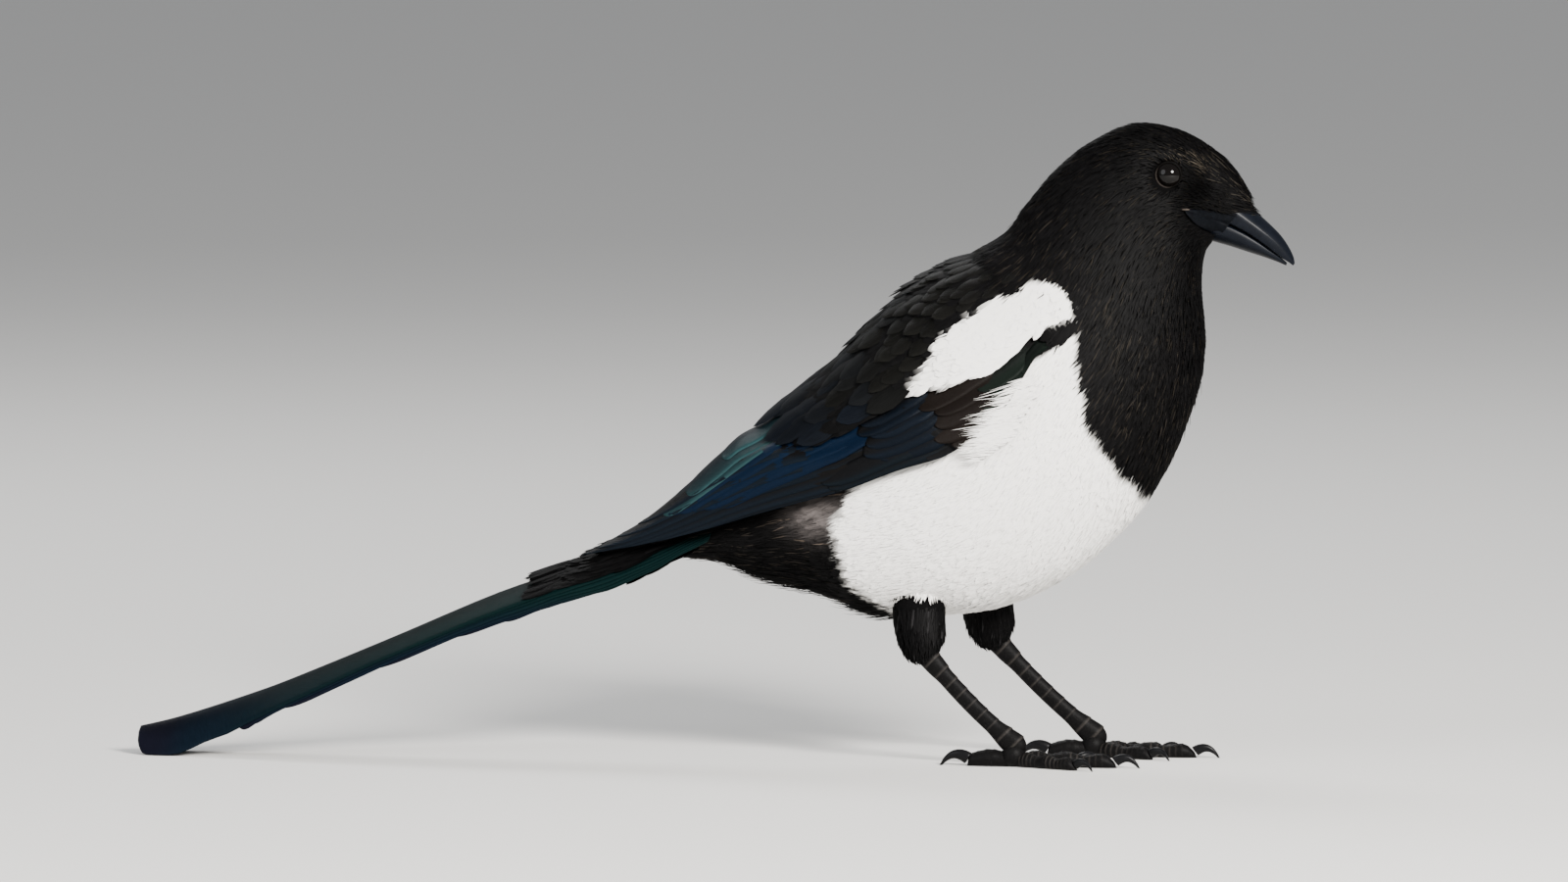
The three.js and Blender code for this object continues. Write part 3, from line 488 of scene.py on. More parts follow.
def trunk_tint(points, ragged=1.0):
    """The colour of the trunk's feathers at points in millimetres."""
    x, y, z = np.moveaxis(points, -1, 0)
    rough = (noise(points, 9, 3) * 0.9 + noise(points, 2.6, 4) * 0.7) * ragged
    bib = side_of(BIB, x, z) + rough
    neck = (x - 3.5) * 0.38 + (z - 183) * 0.9 + rough
    vent = -side_of(VENT, x, z) + 2 * rough
    wing_line = (z - 79.5) - (x + 96) * 0.592
    # The dark cleft in front of the wing, between the shoulder's white and the flank's
    cleft = np.minimum(154.6 - 0.85 * np.maximum(24.5 - x, 0) - z, z - 151.6 + (35 - x) * 0.66) + 0.3 * rough
    black = np.maximum.reduce([
        step(bib, -1, 1), step(neck, -1, 1), step(vent, -1.5, 1.5) * step(-x, 20, 26),
        step(wing_line + rough, 0, 3), step(cleft, -0.6, 0.6) * step(x, 12, 16) * (np.abs(y) > 25),
    ])
    tint = mix(WHITE + 0 * points, BLACK, black[..., None])
    fluff = np.exp(-(((x + 56) / 9) ** 2) - ((z - 87.5) / 6.5) ** 2) * (0.7 + 0.4 * noise(points, 3.5, 6))
    return mix(tint, FLUFF, np.clip(fluff * 1.3 * black, 0, 1)[..., None])


# How deep the trunk stays below the shell: under a wing, under mantle and shoulders, elsewhere
WING_ROOM, COVER_ROOM, NO_ROOM = 4.8, 2.2, -9.0


def cover_samples():
    """Points of the shell, the ways outwards, the room that each needs below it, and a tree to find them."""
    degrees = np.concatenate([np.linspace(-92, -0.5, 60), np.linspace(0.5, 92, 60)])
    place, degrees = np.meshgrid(np.linspace(0.55, 9.4, 90), degrees, indexing="ij")
    at, _, out = (a.reshape(-1, 3) for a in shell_frame(place, degrees))
    place, degrees = place.ravel(), np.abs(degrees).ravel()
    wing = (place > 0.75) & (degrees > along(WING_TOP, place) - 1)
    wing &= degrees < along(WING_BOTTOM, place) + 0.5
    edge = along(COVER_EDGE, place)
    mantle = (place > 1.0) & (place < 7.0) & (degrees < edge)
    shoulder = (place > 0.6) & (place < 4.3) & (degrees < edge) & (degrees > along(MANTLE_EDGE, place))
    room = np.where(wing, WING_ROOM, np.where(mantle | shoulder, COVER_ROOM, NO_ROOM))
    tree = kdtree.KDTree(len(at))
    for number, point in enumerate(at):
        tree.insert(point, number)
    tree.balance()
    return at, out, room, tree


COVER_AT, COVER_OUT, ROOM, TREE = cover_samples()


def under_cover(points):
    """How deep each point should lie and does lie below the shell's nearest sample.

    The last two values are how far it is from that sample sideways, and the sample's number.
    """
    near = np.array([TREE.find(p)[1] for p in points])
    away = COVER_AT[near] - points
    depth = np.sum(away * COVER_OUT[near], axis=-1)
    sideways = np.linalg.norm(away - COVER_OUT[near] * depth[:, None], axis=-1)
    return ROOM[near], depth, sideways, near


# Skin

LAST_RIB = len(RIBS) - 1
# Room pushed into the skin for the eyes and for the horn at the gape
SOCKET = {"depth": 1.7, "inner": 4.6, "outer": 6.6}
HORN_ROOM = {"depth": 1.3, "deeper": 2.8, "from": 75.5, "to": 82}


def skin_depth(place):
    """How deep the skin lies below the ribs' outline, which the feathers make up."""
    return np.interp(place, [0, 2, 5, 8, 12, 18], [0.5, 0.9, 1.2, 1.6, 1.8, 1.2])


def trunk_uv(place, turn):
    return stack(0.02 + 0.96 * place / LAST_RIB, 0.01 + 0.58 * (np.mod(turn, 2 * np.pi) / (2 * np.pi)))


def build_skin():
    """One skin over trunk and thighs, pushed in for eyes, horn, wings and mantle."""
    rows, columns = 170, 112
    place, turn = grid((0, LAST_RIB, rows), (0, 2 * np.pi, columns + 1))
    here, _, out = trunk_frame(place, turn)
    points = (here - out * skin_depth(place)[..., None]).reshape(-1, 3)
    out = out.reshape(-1, 3)
    ring = np.hypot(points[:, 0] - EYE["x"], points[:, 2] - EYE["z"])
    socket = SOCKET["depth"] * (1 - step(ring, SOCKET["inner"], SOCKET["outer"])) * (np.abs(points[:, 1]) > 8)
    points = points - out * socket[:, None]
    forward = step(points[:, 0], HORN_ROOM["from"], HORN_ROOM["to"])
    horn = (HORN_ROOM["depth"] + HORN_ROOM["deeper"] * forward) * in_horn(points, 0.2)
    points = points - out * horn[:, None]
    need, depth, sideways, near = under_cover(points)
    push = np.where((sideways < 6) & (need > 0), np.maximum(need - depth, 0), 0)
    points = points - COVER_OUT[near] * push[:, None]
    tint = trunk_tint(here.reshape(-1, 3), 0.3) * 0.8
    faces = [grid_faces(rows, columns + 1)]
    for end in (0, rows - 1):
        ring = end * (columns + 1) + np.arange(columns + 1)
        points = np.concatenate([points, points[ring].mean(0)[None]])
        tint = np.concatenate([tint, tint[ring[:1]]])
        hub = np.full(columns, len(points) - 1)
        order = [ring[1:], ring[:-1]] if end == 0 else [ring[:-1], ring[1:]]
        faces.append(np.stack([*order, hub], -1))
    uv = np.concatenate([trunk_uv(place, turn * 0.9999).reshape(-1, 2), [[0.02, 0.3], [0.98, 0.3]]])
    parts = [(points, faces, tint, uv)]
    for number, leg in enumerate(LEGS.values()):
        rings = [thigh_ring(leg, s, -1.2) for s in np.linspace(-0.1, 0.98, 12)]
        tube_points, tube_faces = tube(rings)
        black = np.tile(BLACK, (len(tube_points), 1))
        spot = [0.6 + 0.2 * number, 0.8] + tube_points[:, [1, 2]] % 30 / 400
        parts.append((tube_points, tube_faces, black, spot))
    points, faces, tint, uv = joined(parts)
    flesh = ("head", "neck", "breast", "back", "belly", "vent", "thigh_right", "thigh_left")
    piece("skin", points, faces, SKIN, "black_feather", *flesh, tint=tint, uv=uv)


def thigh_at(leg, s, turn, grow=0.0):
    """A point of a thigh: s runs down from hip to ankle, turn about it."""
    top, bottom = np.array(leg["hip"]), np.array(leg["ankle"])
    at = np.interp(s, THIGH[:, 0], np.arange(len(THIGH)))
    _, deep, wide, back = np.moveaxis(smooth(THIGH, at), -1, 0)
    s = np.asarray(s, float)
    centre = top + (bottom - top) * s[..., None]
    deep, wide = deep + grow, wide + grow
    return stack(
        centre[..., 0] - back + deep * np.cos(turn),
        centre[..., 1] + wide * np.sin(turn),
        centre[..., 2] - 0.25 * deep * (1 - np.cos(turn)) * s,
    )


def thigh_ring(leg, s, grow):
    turn = np.linspace(0, 2 * np.pi, 24, endpoint=False)
    return thigh_at(leg, np.full(24, s), turn, grow)


# Tufts: small solid feathers and bristles over the skin

# Their outlines: share of the length and of the half width, up to the tip
BROAD = ((0.0, 0.4), (0.35, 0.95), (0.7, 0.95), (0.91, 0.55))
THIN = ((0.0, 0.8), (0.4, 1.0), (0.78, 0.6))
ROUND = ((0.0, 0.35), (0.3, 0.85), (0.58, 1.0), (0.8, 0.84), (0.93, 0.48))
POINTED = ((0.0, 0.35), (0.3, 0.82), (0.55, 1.0), (0.78, 0.8), (0.92, 0.42))
PIECE_TRIANGLES = 180000  # the most in one piece
# How they look: finish, slot, outline, points across, thickness, cup, painted shade at the root, painted
# highlight at the tip, roundness
COATS = {
    "head_coat": (HAIR, "black_feather", THIN, 3, 0.14, 0.1, 0.35, 1.0, 0.3),
    "bristle": (HAIR, "black_feather", THIN, 3, 0.12, 0.0, 0.5, 1.0, 0.3),
    "body_coat": (DOWN, "white_feather", BROAD, 3, 0.1, 0.08, 0.93, 1.0, 0.16),
    "wisp": (DOWN, "white_feather", THIN, 3, 0.1, 0.1, 0.95, 1.0, 0.12),
    "flank_wisp": (DOWN, "white_feather", THIN, 3, 0.1, 0.0, 0.97, 1.0, 0.1),
    "thigh_coat": (HAIR, "black_feather", THIN, 3, 0.15, 0.2, 0.6, 1.0, 0.3),
    "skirt": (DOWN, "white_feather", THIN, 3, 0.12, 0.1, 0.95, 1.0, 0.15),
    "cover_coat": (DOWN, "white_feather", BROAD, 3, 0.1, 0.08, 0.95, 1.0, 0.15),
    "cover_barb": (DOWN, "white_feather", THIN, 3, 0.1, 0.08, 0.95, 1.0, 0.15),
    "mantle_feather": (PLUME, "black_feather", POINTED, 5, 0.18, 0.07, 0.4, 1.25, 0.4),
    "rump": (DOWN, "black_feather", ROUND, 3, 0.12, 0.15, 0.7, 1.0, 0.3),
    "tail_covert": (DOWN, "black_feather", ROUND, 3, 0.2, 0.15, 0.5, 1.3, 0.3),
}


def tufts(coat, here, depth, way, out, length, half, lift, curl, tint, uv, side=""):
    """Solid feathers from a depth in the surface, each along way and bent in the plane of way and out.

    The tint is one colour a feather, or a function of the points and their share of the length.
    """
    finish, slot, shape, sides, thick, cup, root_shade, pale, roundness = COATS[coat]
    n = len(here)
    across = np.cross(way, out)
    columns = [np.broadcast_to(np.asarray(v, float), (n,)) for v in (depth, length, half, lift, curl)]
    depth, length, half, lift, curl = (c[:, None] for c in columns)
    root = here - out * depth
    points, painted_shading, lies, normals = [], [], [], []
    for s, w in (*shape, (1.0, 0.0)):
        centre = root + way * (length * s) + out * (length * (lift * s - curl * s * s))
        up = unit(out - way * (lift - 2 * curl * s))
        for c in np.linspace(-1, 1, sides) if w else [0.0]:
            rise = (1 - c * c) * np.minimum(thick, half * w * 0.8) - half * w * cup * c * c
            points.append(centre + across * (half * w * c) + out * rise)
            normals.append(unit(up + across * (c * roundness)))
            lies.append([s, 0.5 + 0.5 * c])
            # Painted light: each feather is painted darker towards its root, as shade under the feathers over
            # it, and paler at its tip and side edges, as a painted highlight.
            edge = step(max(s, 0.7 * abs(c) + 0.3 * s), 0.72, 1)
            painted_shading.append(mix(root_shade, 1.0, step(s, 0, 0.6)) * mix(1.0, pale, edge))
    points, normals = np.stack(points, 1), np.stack(normals, 1)
    lies, painted_shading = np.array(lies), np.array(painted_shading)
    tint = tint(points, lies[:, 0]) if callable(tint) else tint[:, None]
    tint = tint * painted_shading[None, :, None]
    each, rings = len(lies), len(shape)
    quads = [
        [sides * r + k, sides * r + (k + 1) % sides, sides * (r + 1) + (k + 1) % sides, sides * (r + 1) + k]
        for r in range(rings - 1)
        for k in range(sides)
    ]
    last = sides * (rings - 1)
    tips = [[last + k, last + (k + 1) % sides, sides * rings] for k in range(sides)]
    tips += [[0, k + 1, k] for k in range(1, sides - 1)]
    most = PIECE_TRIANGLES // (2 * len(quads) + len(tips))
    for number, start in enumerate(range(0, n, most)):
        part = slice(start, min(start + most, n))
        count = part.stop - part.start
        base = (np.arange(count) * each)[:, None, None]
        faces = [(np.array(quads)[None] + base).reshape(-1, 4), (np.array(tips)[None] + base).reshape(-1, 3)]
        spot = (uv[part, None] + (lies[None] - [0, 0.5]) * 0.003).reshape(-1, 2)
        lie = (lies[None] + RNG.uniform(0, 30, (count, 1, 2))).reshape(-1, 2)
        where, colours, facing = (a[part].reshape(-1, 3) for a in (points, tint, normals))
        piece(
            f"{coat}{side}_{number}", where, faces, finish, slot,
            tint=colours, uv=spot, lie=lie, normals=facing
        )


def scatter(surface, a_range, b_range, spacing, fine=(90, 90)):
    """Evenly strewn places on a surface, about one to each square of the spacing."""
    a, b = grid((*a_range, fine[0]), (*b_range, fine[1]))
    net = surface(a, b)
    du, dv = net[1:, :-1] - net[:-1, :-1], net[:-1, 1:] - net[:-1, :-1]
    area = np.linalg.norm(np.cross(du, dv), axis=-1)
    size = spacing(a[:-1, :-1], b[:-1, :-1]) if callable(spacing) else spacing
    share = (area / np.square(size)).ravel()
    count = int(share.sum() * 1.9)
    pick = RNG.choice(len(share), count, p=share / share.sum())
    i, j = np.divmod(pick, fine[1] - 1)
    pa = mix(a_range[0], a_range[1], (i + RNG.random(count)) / (fine[0] - 1))
    pb = mix(b_range[0], b_range[1], (j + RNG.random(count)) / (fine[1] - 1))
    at = surface(pa, pb)
    local = (np.asarray(size) + np.zeros(area.shape)).ravel()[pick] * 0.62
    keep, cells = [], {}
    cell = float(local.max()) + 1e-6
    keys = np.floor(at / cell).astype(int)
    for k in range(count):
        key = tuple(keys[k])
        near = []
        for dx, dy, dz in product((-1, 0, 1), repeat=3):
            near += cells.get((key[0] + dx, key[1] + dy, key[2] + dz), ())
        if near and np.min(np.sum((at[near] - at[k]) ** 2, -1)) < local[k] ** 2:
            continue
        cells.setdefault(key, []).append(k)
        keep.append(k)
    return pa[keep], pb[keep]


def turned(way, out, spread):
    """The ways turned a little about the surface's outward line."""
    angle = RNG.normal(0, spread, len(way))[:, None]
    return unit(way * np.cos(angle) + np.cross(out, way) * np.sin(angle))


def kept(keep, *values):
    """The chosen rows of several arrays."""
    return [v[keep] for v in values]


def in_horn(points, grow):
    """Where the horn at the gape lies bare, its borders moved outwards by grow."""
    x, y, z = points.T
    inside = (x > GAPE_EDGE[0][0]) & (z < along(GAPE_TOP, x) + grow) & (z > along(GAPE_EDGE, x) - grow)
    return inside & (np.abs(y) > 3)


def bare(here):
    """Where a bill, an eye or a wing leaves no room for a trunk tuft."""
    need, depth, sideways, _ = under_cover(here)
    hidden = (need > 0) & (sideways < 1.6) & (depth > -1.5)
    x, y, z = here.T
    eye = (np.hypot(x - EYE["x"], z - EYE["z"]) < 5.1) & (np.abs(y) > 3)
    return hidden | eye | in_horn(here, -0.4)


def tip_of(here, way, length, share=0.75):
    return here + way * (length * share)[:, None]


def build_head_coat():
    """Short silky feathers over head and neck."""
    spacing = lambda a, b: np.interp(a, [0, 2, 4, 6.5, 9.5], [0.62, 0.68, 0.8, 1.0, 1.35])
    place, turn = scatter(rib, (0.05, 9.2), (0, 2 * np.pi), spacing)
    here, way, out = trunk_frame(place, turn)
    length = np.interp(place, [0, 1.5, 3, 5, 8], [3.2, 3.6, 4.4, 6.5, 9.0])
    length = length * RNG.uniform(0.75, 1.2, len(here))
    keep = ~bare(here) & (trunk_tint(tip_of(here, way, length))[:, 0] < 0.1)
    place, turn, here, way, out, length = kept(keep, place, turn, here, way, out, length)
    n = len(here)
    depth = skin_depth(place)
    # Round the eye the feathers are short and part to each side.
    from_eye = here - [EYE["x"], 0, EYE["z"]]
    ring = np.hypot(from_eye[:, 0], from_eye[:, 2])
    near = (np.abs(here[:, 1]) > 9) * (1 - step(ring, 5.4, 9.5))
    round_eye = unit(stack(from_eye[:, 0], 0, from_eye[:, 2]))
    way = unit(way + (near * 0.9)[:, None] * (round_eye - out * dot(round_eye, out)))
    length = length * (1 - 0.55 * near)
    way = turned(way, out, 0.13)
    lift = (depth * 1.15 + 0.1 + 0.25 * RNG.random(n) ** 3) / length
    # Barbs here and there are painted brown as highlights, most along the brow; the lores are deep black.
    x, _, z = here.T
    turn_in = np.abs(np.mod(turn + np.pi, 2 * np.pi) - np.pi)
    brow = bell(turn_in - np.interp(place, [0, 2, 4], [0.95, 0.8, 0.9]), 0.17) * (1 - step(place, 2.6, 4.2))
    lores = np.exp(-(((x - 79) / 7) ** 2) - ((z - 202) / 5) ** 2)
    lit = RNG.random(n) < 0.14 + 0.12 * noise(here, 14, 8) + 0.55 * brow
    highlight_tint = np.array([0.019, 0.016, 0.0125]) * RNG.uniform(0.3, 1.0, (n, 1)) * (1 + 2.6 * brow)[:, None]
    tint = np.where(lit[:, None], highlight_tint, BLACK * RNG.uniform(0.6, 1.5, (n, 1)))
    tint = tint * (1 - 0.85 * lores)[:, None]
    half = np.interp(place, [0, 3, 6, 9], [0.15, 0.2, 0.3, 0.42])
    half = half * RNG.uniform(0.8, 1.3, n) * np.where(lit, 0.45, 1)
    length = length * np.where(lit & (place < 7), 0.8, 1)
    lift = np.where(lit, lift + 0.18 / length, lift)
    tufts("head_coat", here, depth, way, out, length, half, lift, lift * 0.45, tint, trunk_uv(place, turn))


def build_nasal_bristles():
    """Bristles that cover the nostrils and the base of the culmen, pointing forwards."""
    n = 1700
    place = RNG.uniform(0.05, 2.2, n)
    turn = np.clip(RNG.normal(0, 0.8, n), -1.7, 1.7)
    here, way, out = trunk_frame(place, turn)
    keep = here[:, 2] > along(GAPE_TOP, here[:, 0]) + 0.2
    place, turn, here, way, out = kept(keep, place, turn, here, way, out)
    n = len(here)
    down = mix(-0.8, -0.2, step(np.abs(turn), 0.35, 1.2))
    forward = stack(1, 0, down)
    forward = unit(forward - out * (dot(forward, out) * 0.9))
    length = RNG.uniform(6.0, 12.0, n) * np.interp(place, [0, 2], [1.0, 0.8])
    way = turned(forward, out, 0.1)
    # A few bristles are painted brown as highlights.
    lit = RNG.random((n, 1)) < 0.08
    tint = np.where(lit, [0.022, 0.019, 0.015], BLACK * RNG.uniform(0.5, 1.4, (n, 1)))
    lift = 0.11 * RNG.uniform(0.5, 1.2, n)
    tufts("bristle", here, 0.5, way, out, length, 0.16, lift, lift * 0.8, tint, trunk_uv(place, turn))


def build_body_coat():
    """Broad soft feathers over breast, belly, flanks and vent."""
    spacing = lambda a, b: np.interp(a, [7, 8, 11, 16, 18], [1.6, 1.65, 1.9, 1.7, 1.5])
    place, turn = scatter(rib, (7.2, 17.9), (0, 2 * np.pi), spacing)
    here, way, out = trunk_frame(place, turn)
    length = np.interp(place, [7, 10, 13, 16, 18], [8, 10.5, 12, 10, 7.5])
    length = length * RNG.uniform(0.85, 1.15, len(here))
    black = np.maximum(trunk_tint(here)[:, 0], trunk_tint(tip_of(here, way, length, 1.0))[:, 0]) < 0.1
    keep = ~bare(here) & ~(black & (place < 11))
    place, turn, here, way, out, length = kept(keep, place, turn, here, way, out, length)
    depth = skin_depth(place)
    way = turned(way, out, 0.07)
    lift = depth * 0.72 / length
    tip = tip_of(here, way, length, 1.0)[:, None]
    paint = lambda points, share: trunk_tint(mix(points, tip, 0.2))
    half, spot = length * 0.16, trunk_uv(place, turn)
    tufts("body_coat", here, depth, way, out, length, half, lift, lift * 0.5, paint, spot)


def build_wisps():
    """Fine silky barbs over the breast, belly, flanks and vent."""
    spacing = lambda a, b: np.interp(a, [7, 9, 12, 14, 17.5], [1.2, 1.2, 1.3, 1.25, 1.1])
    place, turn = scatter(rib, (7.0, 17.9), (0, 2 * np.pi), spacing)
    here, way, out = trunk_frame(place, turn)
    length = np.interp(place, [7, 12, 14, 17.5], [6.5, 9.0, 9.5, 8.0]) * RNG.uniform(0.75, 1.25, len(here))
    keep = ~bare(here)
    place, turn, here, way, out, length = kept(keep, place, turn, here, way, out, length)
    n = len(here)
    black = trunk_tint(tip_of(here, way, length))[:, 0] < 0.1
    depth = skin_depth(place) * 0.8
    under = step(-np.cos(turn), 0.7, 0.95) * step(place, 10, 12)
    vent = under * black * step(place, 12.5, 13.5) * (1 - step(place, 16.2, 17))
    ragged = RNG.random(n) < 0.04 + 0.12 * under + 0.3 * vent
    length = length * np.where(ragged & (vent > 0.3), RNG.uniform(1.0, 1.5, n), 1)
    loose = np.where(ragged, RNG.uniform(2, 7, n) * (1 + 0.9 * vent), 1.0)
    lift = (depth * 0.9 + np.where(black, 0.3, 0.05) * loose * RNG.uniform(0.3, 1.4, n)) / length
    # A few black barbs are painted brown and brighter as highlights; the others vary in tone at random.
    lit = RNG.random((n, 1)) < 0.07
    dim = np.where(lit, np.array([5.5, 4.8, 3.9]), RNG.uniform(0.6, 1.5, (n, 1)))[:, None]
    way = turned(way, out, 0.11)
    tip = tip_of(here, way, length, 1.0)[:, None]

    def paint(points, share):
        tint = trunk_tint(mix(points, tip, 0.3))
        return tint * np.where(tint[..., :1] < 0.02, dim, 1.0)

    half = np.where(black, 0.26, 0.45) * RNG.uniform(0.8, 1.2, n)
    tufts("wisp", here, depth, way, out, length, half, lift, lift * 0.45, paint, trunk_uv(place, turn))


def build_flank_wisps():
    """Long loose white barbs that sweep back over the wing's lower front edge."""
    for word, hand in HANDS.items():
        n = 620
        place = 1.75 + 1.75 * RNG.beta(1.3, 1.6, n)
        clump = np.round(place * 6) / 6 + RNG.normal(0, 0.035, n)
        past = RNG.uniform(2.0, 9.0, n)
        degrees = hand * (along(WING_BOTTOM, clump) + past)
        here, ahead, out = shell_frame(clump, degrees)
        rising = np.cross(out, ahead)
        rising = rising * np.sign(rising[:, 2])[:, None]
        way = unit(ahead + rising * RNG.normal(0.42, 0.12, n)[:, None])
        length = RNG.uniform(6, 12, n) * np.interp(place, [1.7, 2.3, 3.5], [0.8, 1.1, 0.75])
        lift = RNG.uniform(0.04, 0.13, n)
        tint = WHITE * RNG.uniform(0.9, 1.0, (n, 1))
        half = RNG.uniform(0.09, 0.2, n)
        # A few long loose strands sweep out over the wing's dark coverts.
        loose = (RNG.random(n) < 0.16) & (place < 2.9)
        length = np.where(loose, length * RNG.uniform(1.4, 1.9, n), length)
        half = np.where(loose, half * 0.65, half)
        depth, spot = np.interp(past, [2, 9], [-0.4, 1.0]), shell_uv(clump, degrees)
        tufts("flank_wisp", here, depth, way, out, length, half, lift, lift * 0.9, tint, spot, f"_{word}")


def build_thigh_coat():
    """Narrow black feathers down the thighs."""
    for number, (word, leg) in enumerate(LEGS.items()):
        surface = lambda a, b, leg=leg: thigh_at(leg, a, b)
        spacing = lambda a, b: np.interp(a, [0, 1], [1.3, 0.8])
        place, turn = scatter(surface, (-0.05, 0.97), (0, 2 * np.pi), spacing, (40, 40))
        here, way, out = framed(surface, place, turn)
        low = here[:, 2] < 56.0
        place, turn, here, way, out = kept(low, place, turn, here, way, out)
        centre = np.array(leg["hip"]) + (np.array(leg["ankle"]) - leg["hip"]) * place[:, None]
        out = out * np.sign(dot(out, here - centre))
        n = len(here)
        length = np.interp(place, [0, 0.6, 0.85, 1], [8.0, 5.5, 3.2, 1.8]) * RNG.uniform(0.8, 1.15, n)
        way = turned(unit(way + [-0.1, 0, 0]), out, 0.12)
        # A few feathers are painted five times brighter as highlights; the others vary in tone at random.
        tint = BLACK * np.where(RNG.random((n, 1)) < 0.06, 5.0, RNG.uniform(0.6, 1.5, (n, 1)))
        spot = stack(0.55 + 0.2 * number + 0.18 * place, 0.64 + 0.3 * turn / (2 * np.pi))
        lift = 1.0 / length
        half = length * 0.07
        tufts("thigh_coat", here, 1.1, way, out, length, half, lift, lift * 0.45, tint, spot, f"_{word}")


def build_thigh_skirts():
    """Belly feathers that hang over the tops of the thighs."""
    for number, (word, leg) in enumerate(LEGS.items()):
        n = 2300
        turn = RNG.uniform(0, 2 * np.pi, n)
        s = RNG.uniform(-0.45, -0.12, n) - 0.05 * np.sin(3 * turn) ** 2
        here = thigh_at(leg, s, turn, -0.7)
        out = unit(stack(np.cos(turn), 1.2 * np.sin(turn), 0.35))
        way = turned(laid(np.array([-0.3, 0, -1.0]), out), out, 0.12)
        length = RNG.uniform(3.5, 8, n)
        lift = RNG.uniform(0.0, 0.05, n)
        tip = tip_of(here, way, length, 1.0)
        black = (tip[:, 0] < along([(40, -29), (62, -22)], tip[:, 2]) + RNG.normal(0, 1.5, n))[:, None]
        tint = np.where(black, BLACK, WHITE * RNG.uniform(0.97, 1.0, (n, 1)))
        spot = stack(0.55 + 0.2 * number + 0.05 * s, 0.96 + 0.002 * turn)
        half = RNG.uniform(0.2, 0.42, n)
        tufts("skirt", here, 0.8, way, out, length, half, lift, lift * 0.6, tint, spot, f"_{word}")


# Mantle and shoulder feathers on the shell


def shell_uv(place, degrees):
    return stack(0.01 + 0.5 * place / 8, 0.62 + 0.36 * (degrees + 92) / 184)


def build_cover_coat():
    """Small feathers and silky barbs over the mantle and the shoulders' white patches."""
    spacing = lambda a, b: np.interp(a, [0.5, 3, 8], [1.6, 1.9, 2.1])
    for layer, gap, width in (("cover_coat", spacing, 0.17), ("cover_barb", 1.35, 0.045)):
        place, degrees = scatter(shell_at, (0.02, 6.6), (-84, 84), gap, (70, 120))
        here, way, out = shell_frame(place, degrees)
        n = len(here)
        length = 11.0 * RNG.uniform(0.8, 1.15, n) * np.interp(place, [0.1, 1.6, 5.8, 6.6], [0.6, 1, 1, 0.8])
        # The border is judged three quarters of the way along each feather.
        tip_place = place + 0.75 * length / STATION
        d = np.abs(degrees)
        rough = noise(here, 8, 21) * 0.8 + noise(here, 3, 22) * 0.5
        border = along(COVER_EDGE, tip_place)
        mantle = (d < along(MANTLE_EDGE, tip_place) + rough) & (tip_place < 6.9)
        shoulder = (d < border - 1.0 + rough) & (tip_place < 4.3 + 0.1 * rough) & ~mantle
        cleft = (d >= border - 1.0 + rough) & (d < along(WING_BOTTOM, tip_place) + 1) & (tip_place < 1.15)
        keep = (mantle & (place > 0.7)) | shoulder | cleft
        if layer == "cover_barb":
            keep &= ~mantle | (place < 1.6)
        place, degrees, here, way, out, length = kept(keep, place, degrees, here, way, out, length)
        border, tip_place, rough = border[keep], tip_place[keep], rough[keep, None]
        n = len(here)
        dim = RNG.uniform(0.7, 1.4, (n, 1, 1))

        def paint(points, share):
            at = place[:, None] + mix(share, 1, 0.25) * length[:, None] / STATION
            d = np.abs(degrees)[:, None] + 0 * at
            white = step(d - along(MANTLE_EDGE, at) - rough, -0.8, 0.8)
            white = white * step(along(COVER_EDGE, at) - 1 + rough - d, -0.8, 0.8)
            white = white * (1 - step(at - 0.1 * rough, 4.2, 4.35))
            return mix(BLACK * dim, WHITE, white[..., None])

        way = turned(way, out, 0.07)
        lift = (1.2 + 0.2 * RNG.random(n)) / length
        # Tips bend down to the wing along the lower and rear borders.
        down = np.maximum(1 - step(border - np.abs(degrees), 0, 7), step(tip_place, 5.9, 6.9))
        curl = lift * 0.4 + 1.3 * down / length
        half, spot = length * width, shell_uv(place, degrees)
        tufts(layer, here, 1.35, way, out, length, half, lift, curl, paint, spot)


def build_mantle_feathers():
    """Glossy black feathers in rows over the mantle, larger towards the tail."""
    places, angles = [], []
    for row, place in enumerate(np.arange(0.75, 6.2, 0.36)):
        size = np.interp(place, [0.5, 3, 6.2], [9, 14, 25])
        edge = along(MANTLE_EDGE, place + 0.85 * size / STATION) - 2.5
        per_degree = np.linalg.norm(shell_at(place, 40.5) - shell_at(place, 39.5))
        gap = size * 0.42 / per_degree
        count = max(int(edge / gap), 1)
        half_row = (np.arange(count) + 0.25 + 0.5 * (row % 2)) * edge / count
        places.append(np.full(2 * count, place))
        angles.append(np.concatenate([-half_row, half_row]))
    place, degrees = np.concatenate(places), np.concatenate(angles)
    n = len(place)
    place = place + RNG.normal(0, 0.08, n)
    degrees = degrees + RNG.normal(0, 1.6, n)
    degrees = np.where(np.abs(degrees) < 0.6, 0.6, degrees)
    here, way, out = shell_frame(place, degrees)
    length = np.interp(place, [0.5, 3, 6.2], [9.5, 15, 25]) * RNG.uniform(0.82, 1.15, n)
    tip_place = place + length / STATION
    inside = along(MANTLE_EDGE, np.minimum(tip_place, 6.9)) - np.abs(degrees)
    down = np.maximum(1 - step(inside, 0, 9), step(tip_place, 6.0, 7.1))
    lift = (1.35 + 0.35 * RNG.random(n)) / length
    curl = lift * 0.35 + np.interp(place, [0.7, 4.5], [0.2, 1]) * 1.5 * down / length
    cool = step(place + RNG.normal(0, 0.6, n), 3.5, 6.0)[:, None]
    gloss = mix(np.array([0.0030, 0.0029, 0.0025]), np.array([0.0022, 0.0030, 0.0048]), cool)
    tint = gloss * RNG.uniform(0.8, 1.2, (n, 1))
    way, half, spot = turned(way, out, 0.1), length * 0.23, shell_uv(place, degrees)
    tufts("mantle_feather", here, 1.15, way, out, length, half, lift, curl, tint, spot)


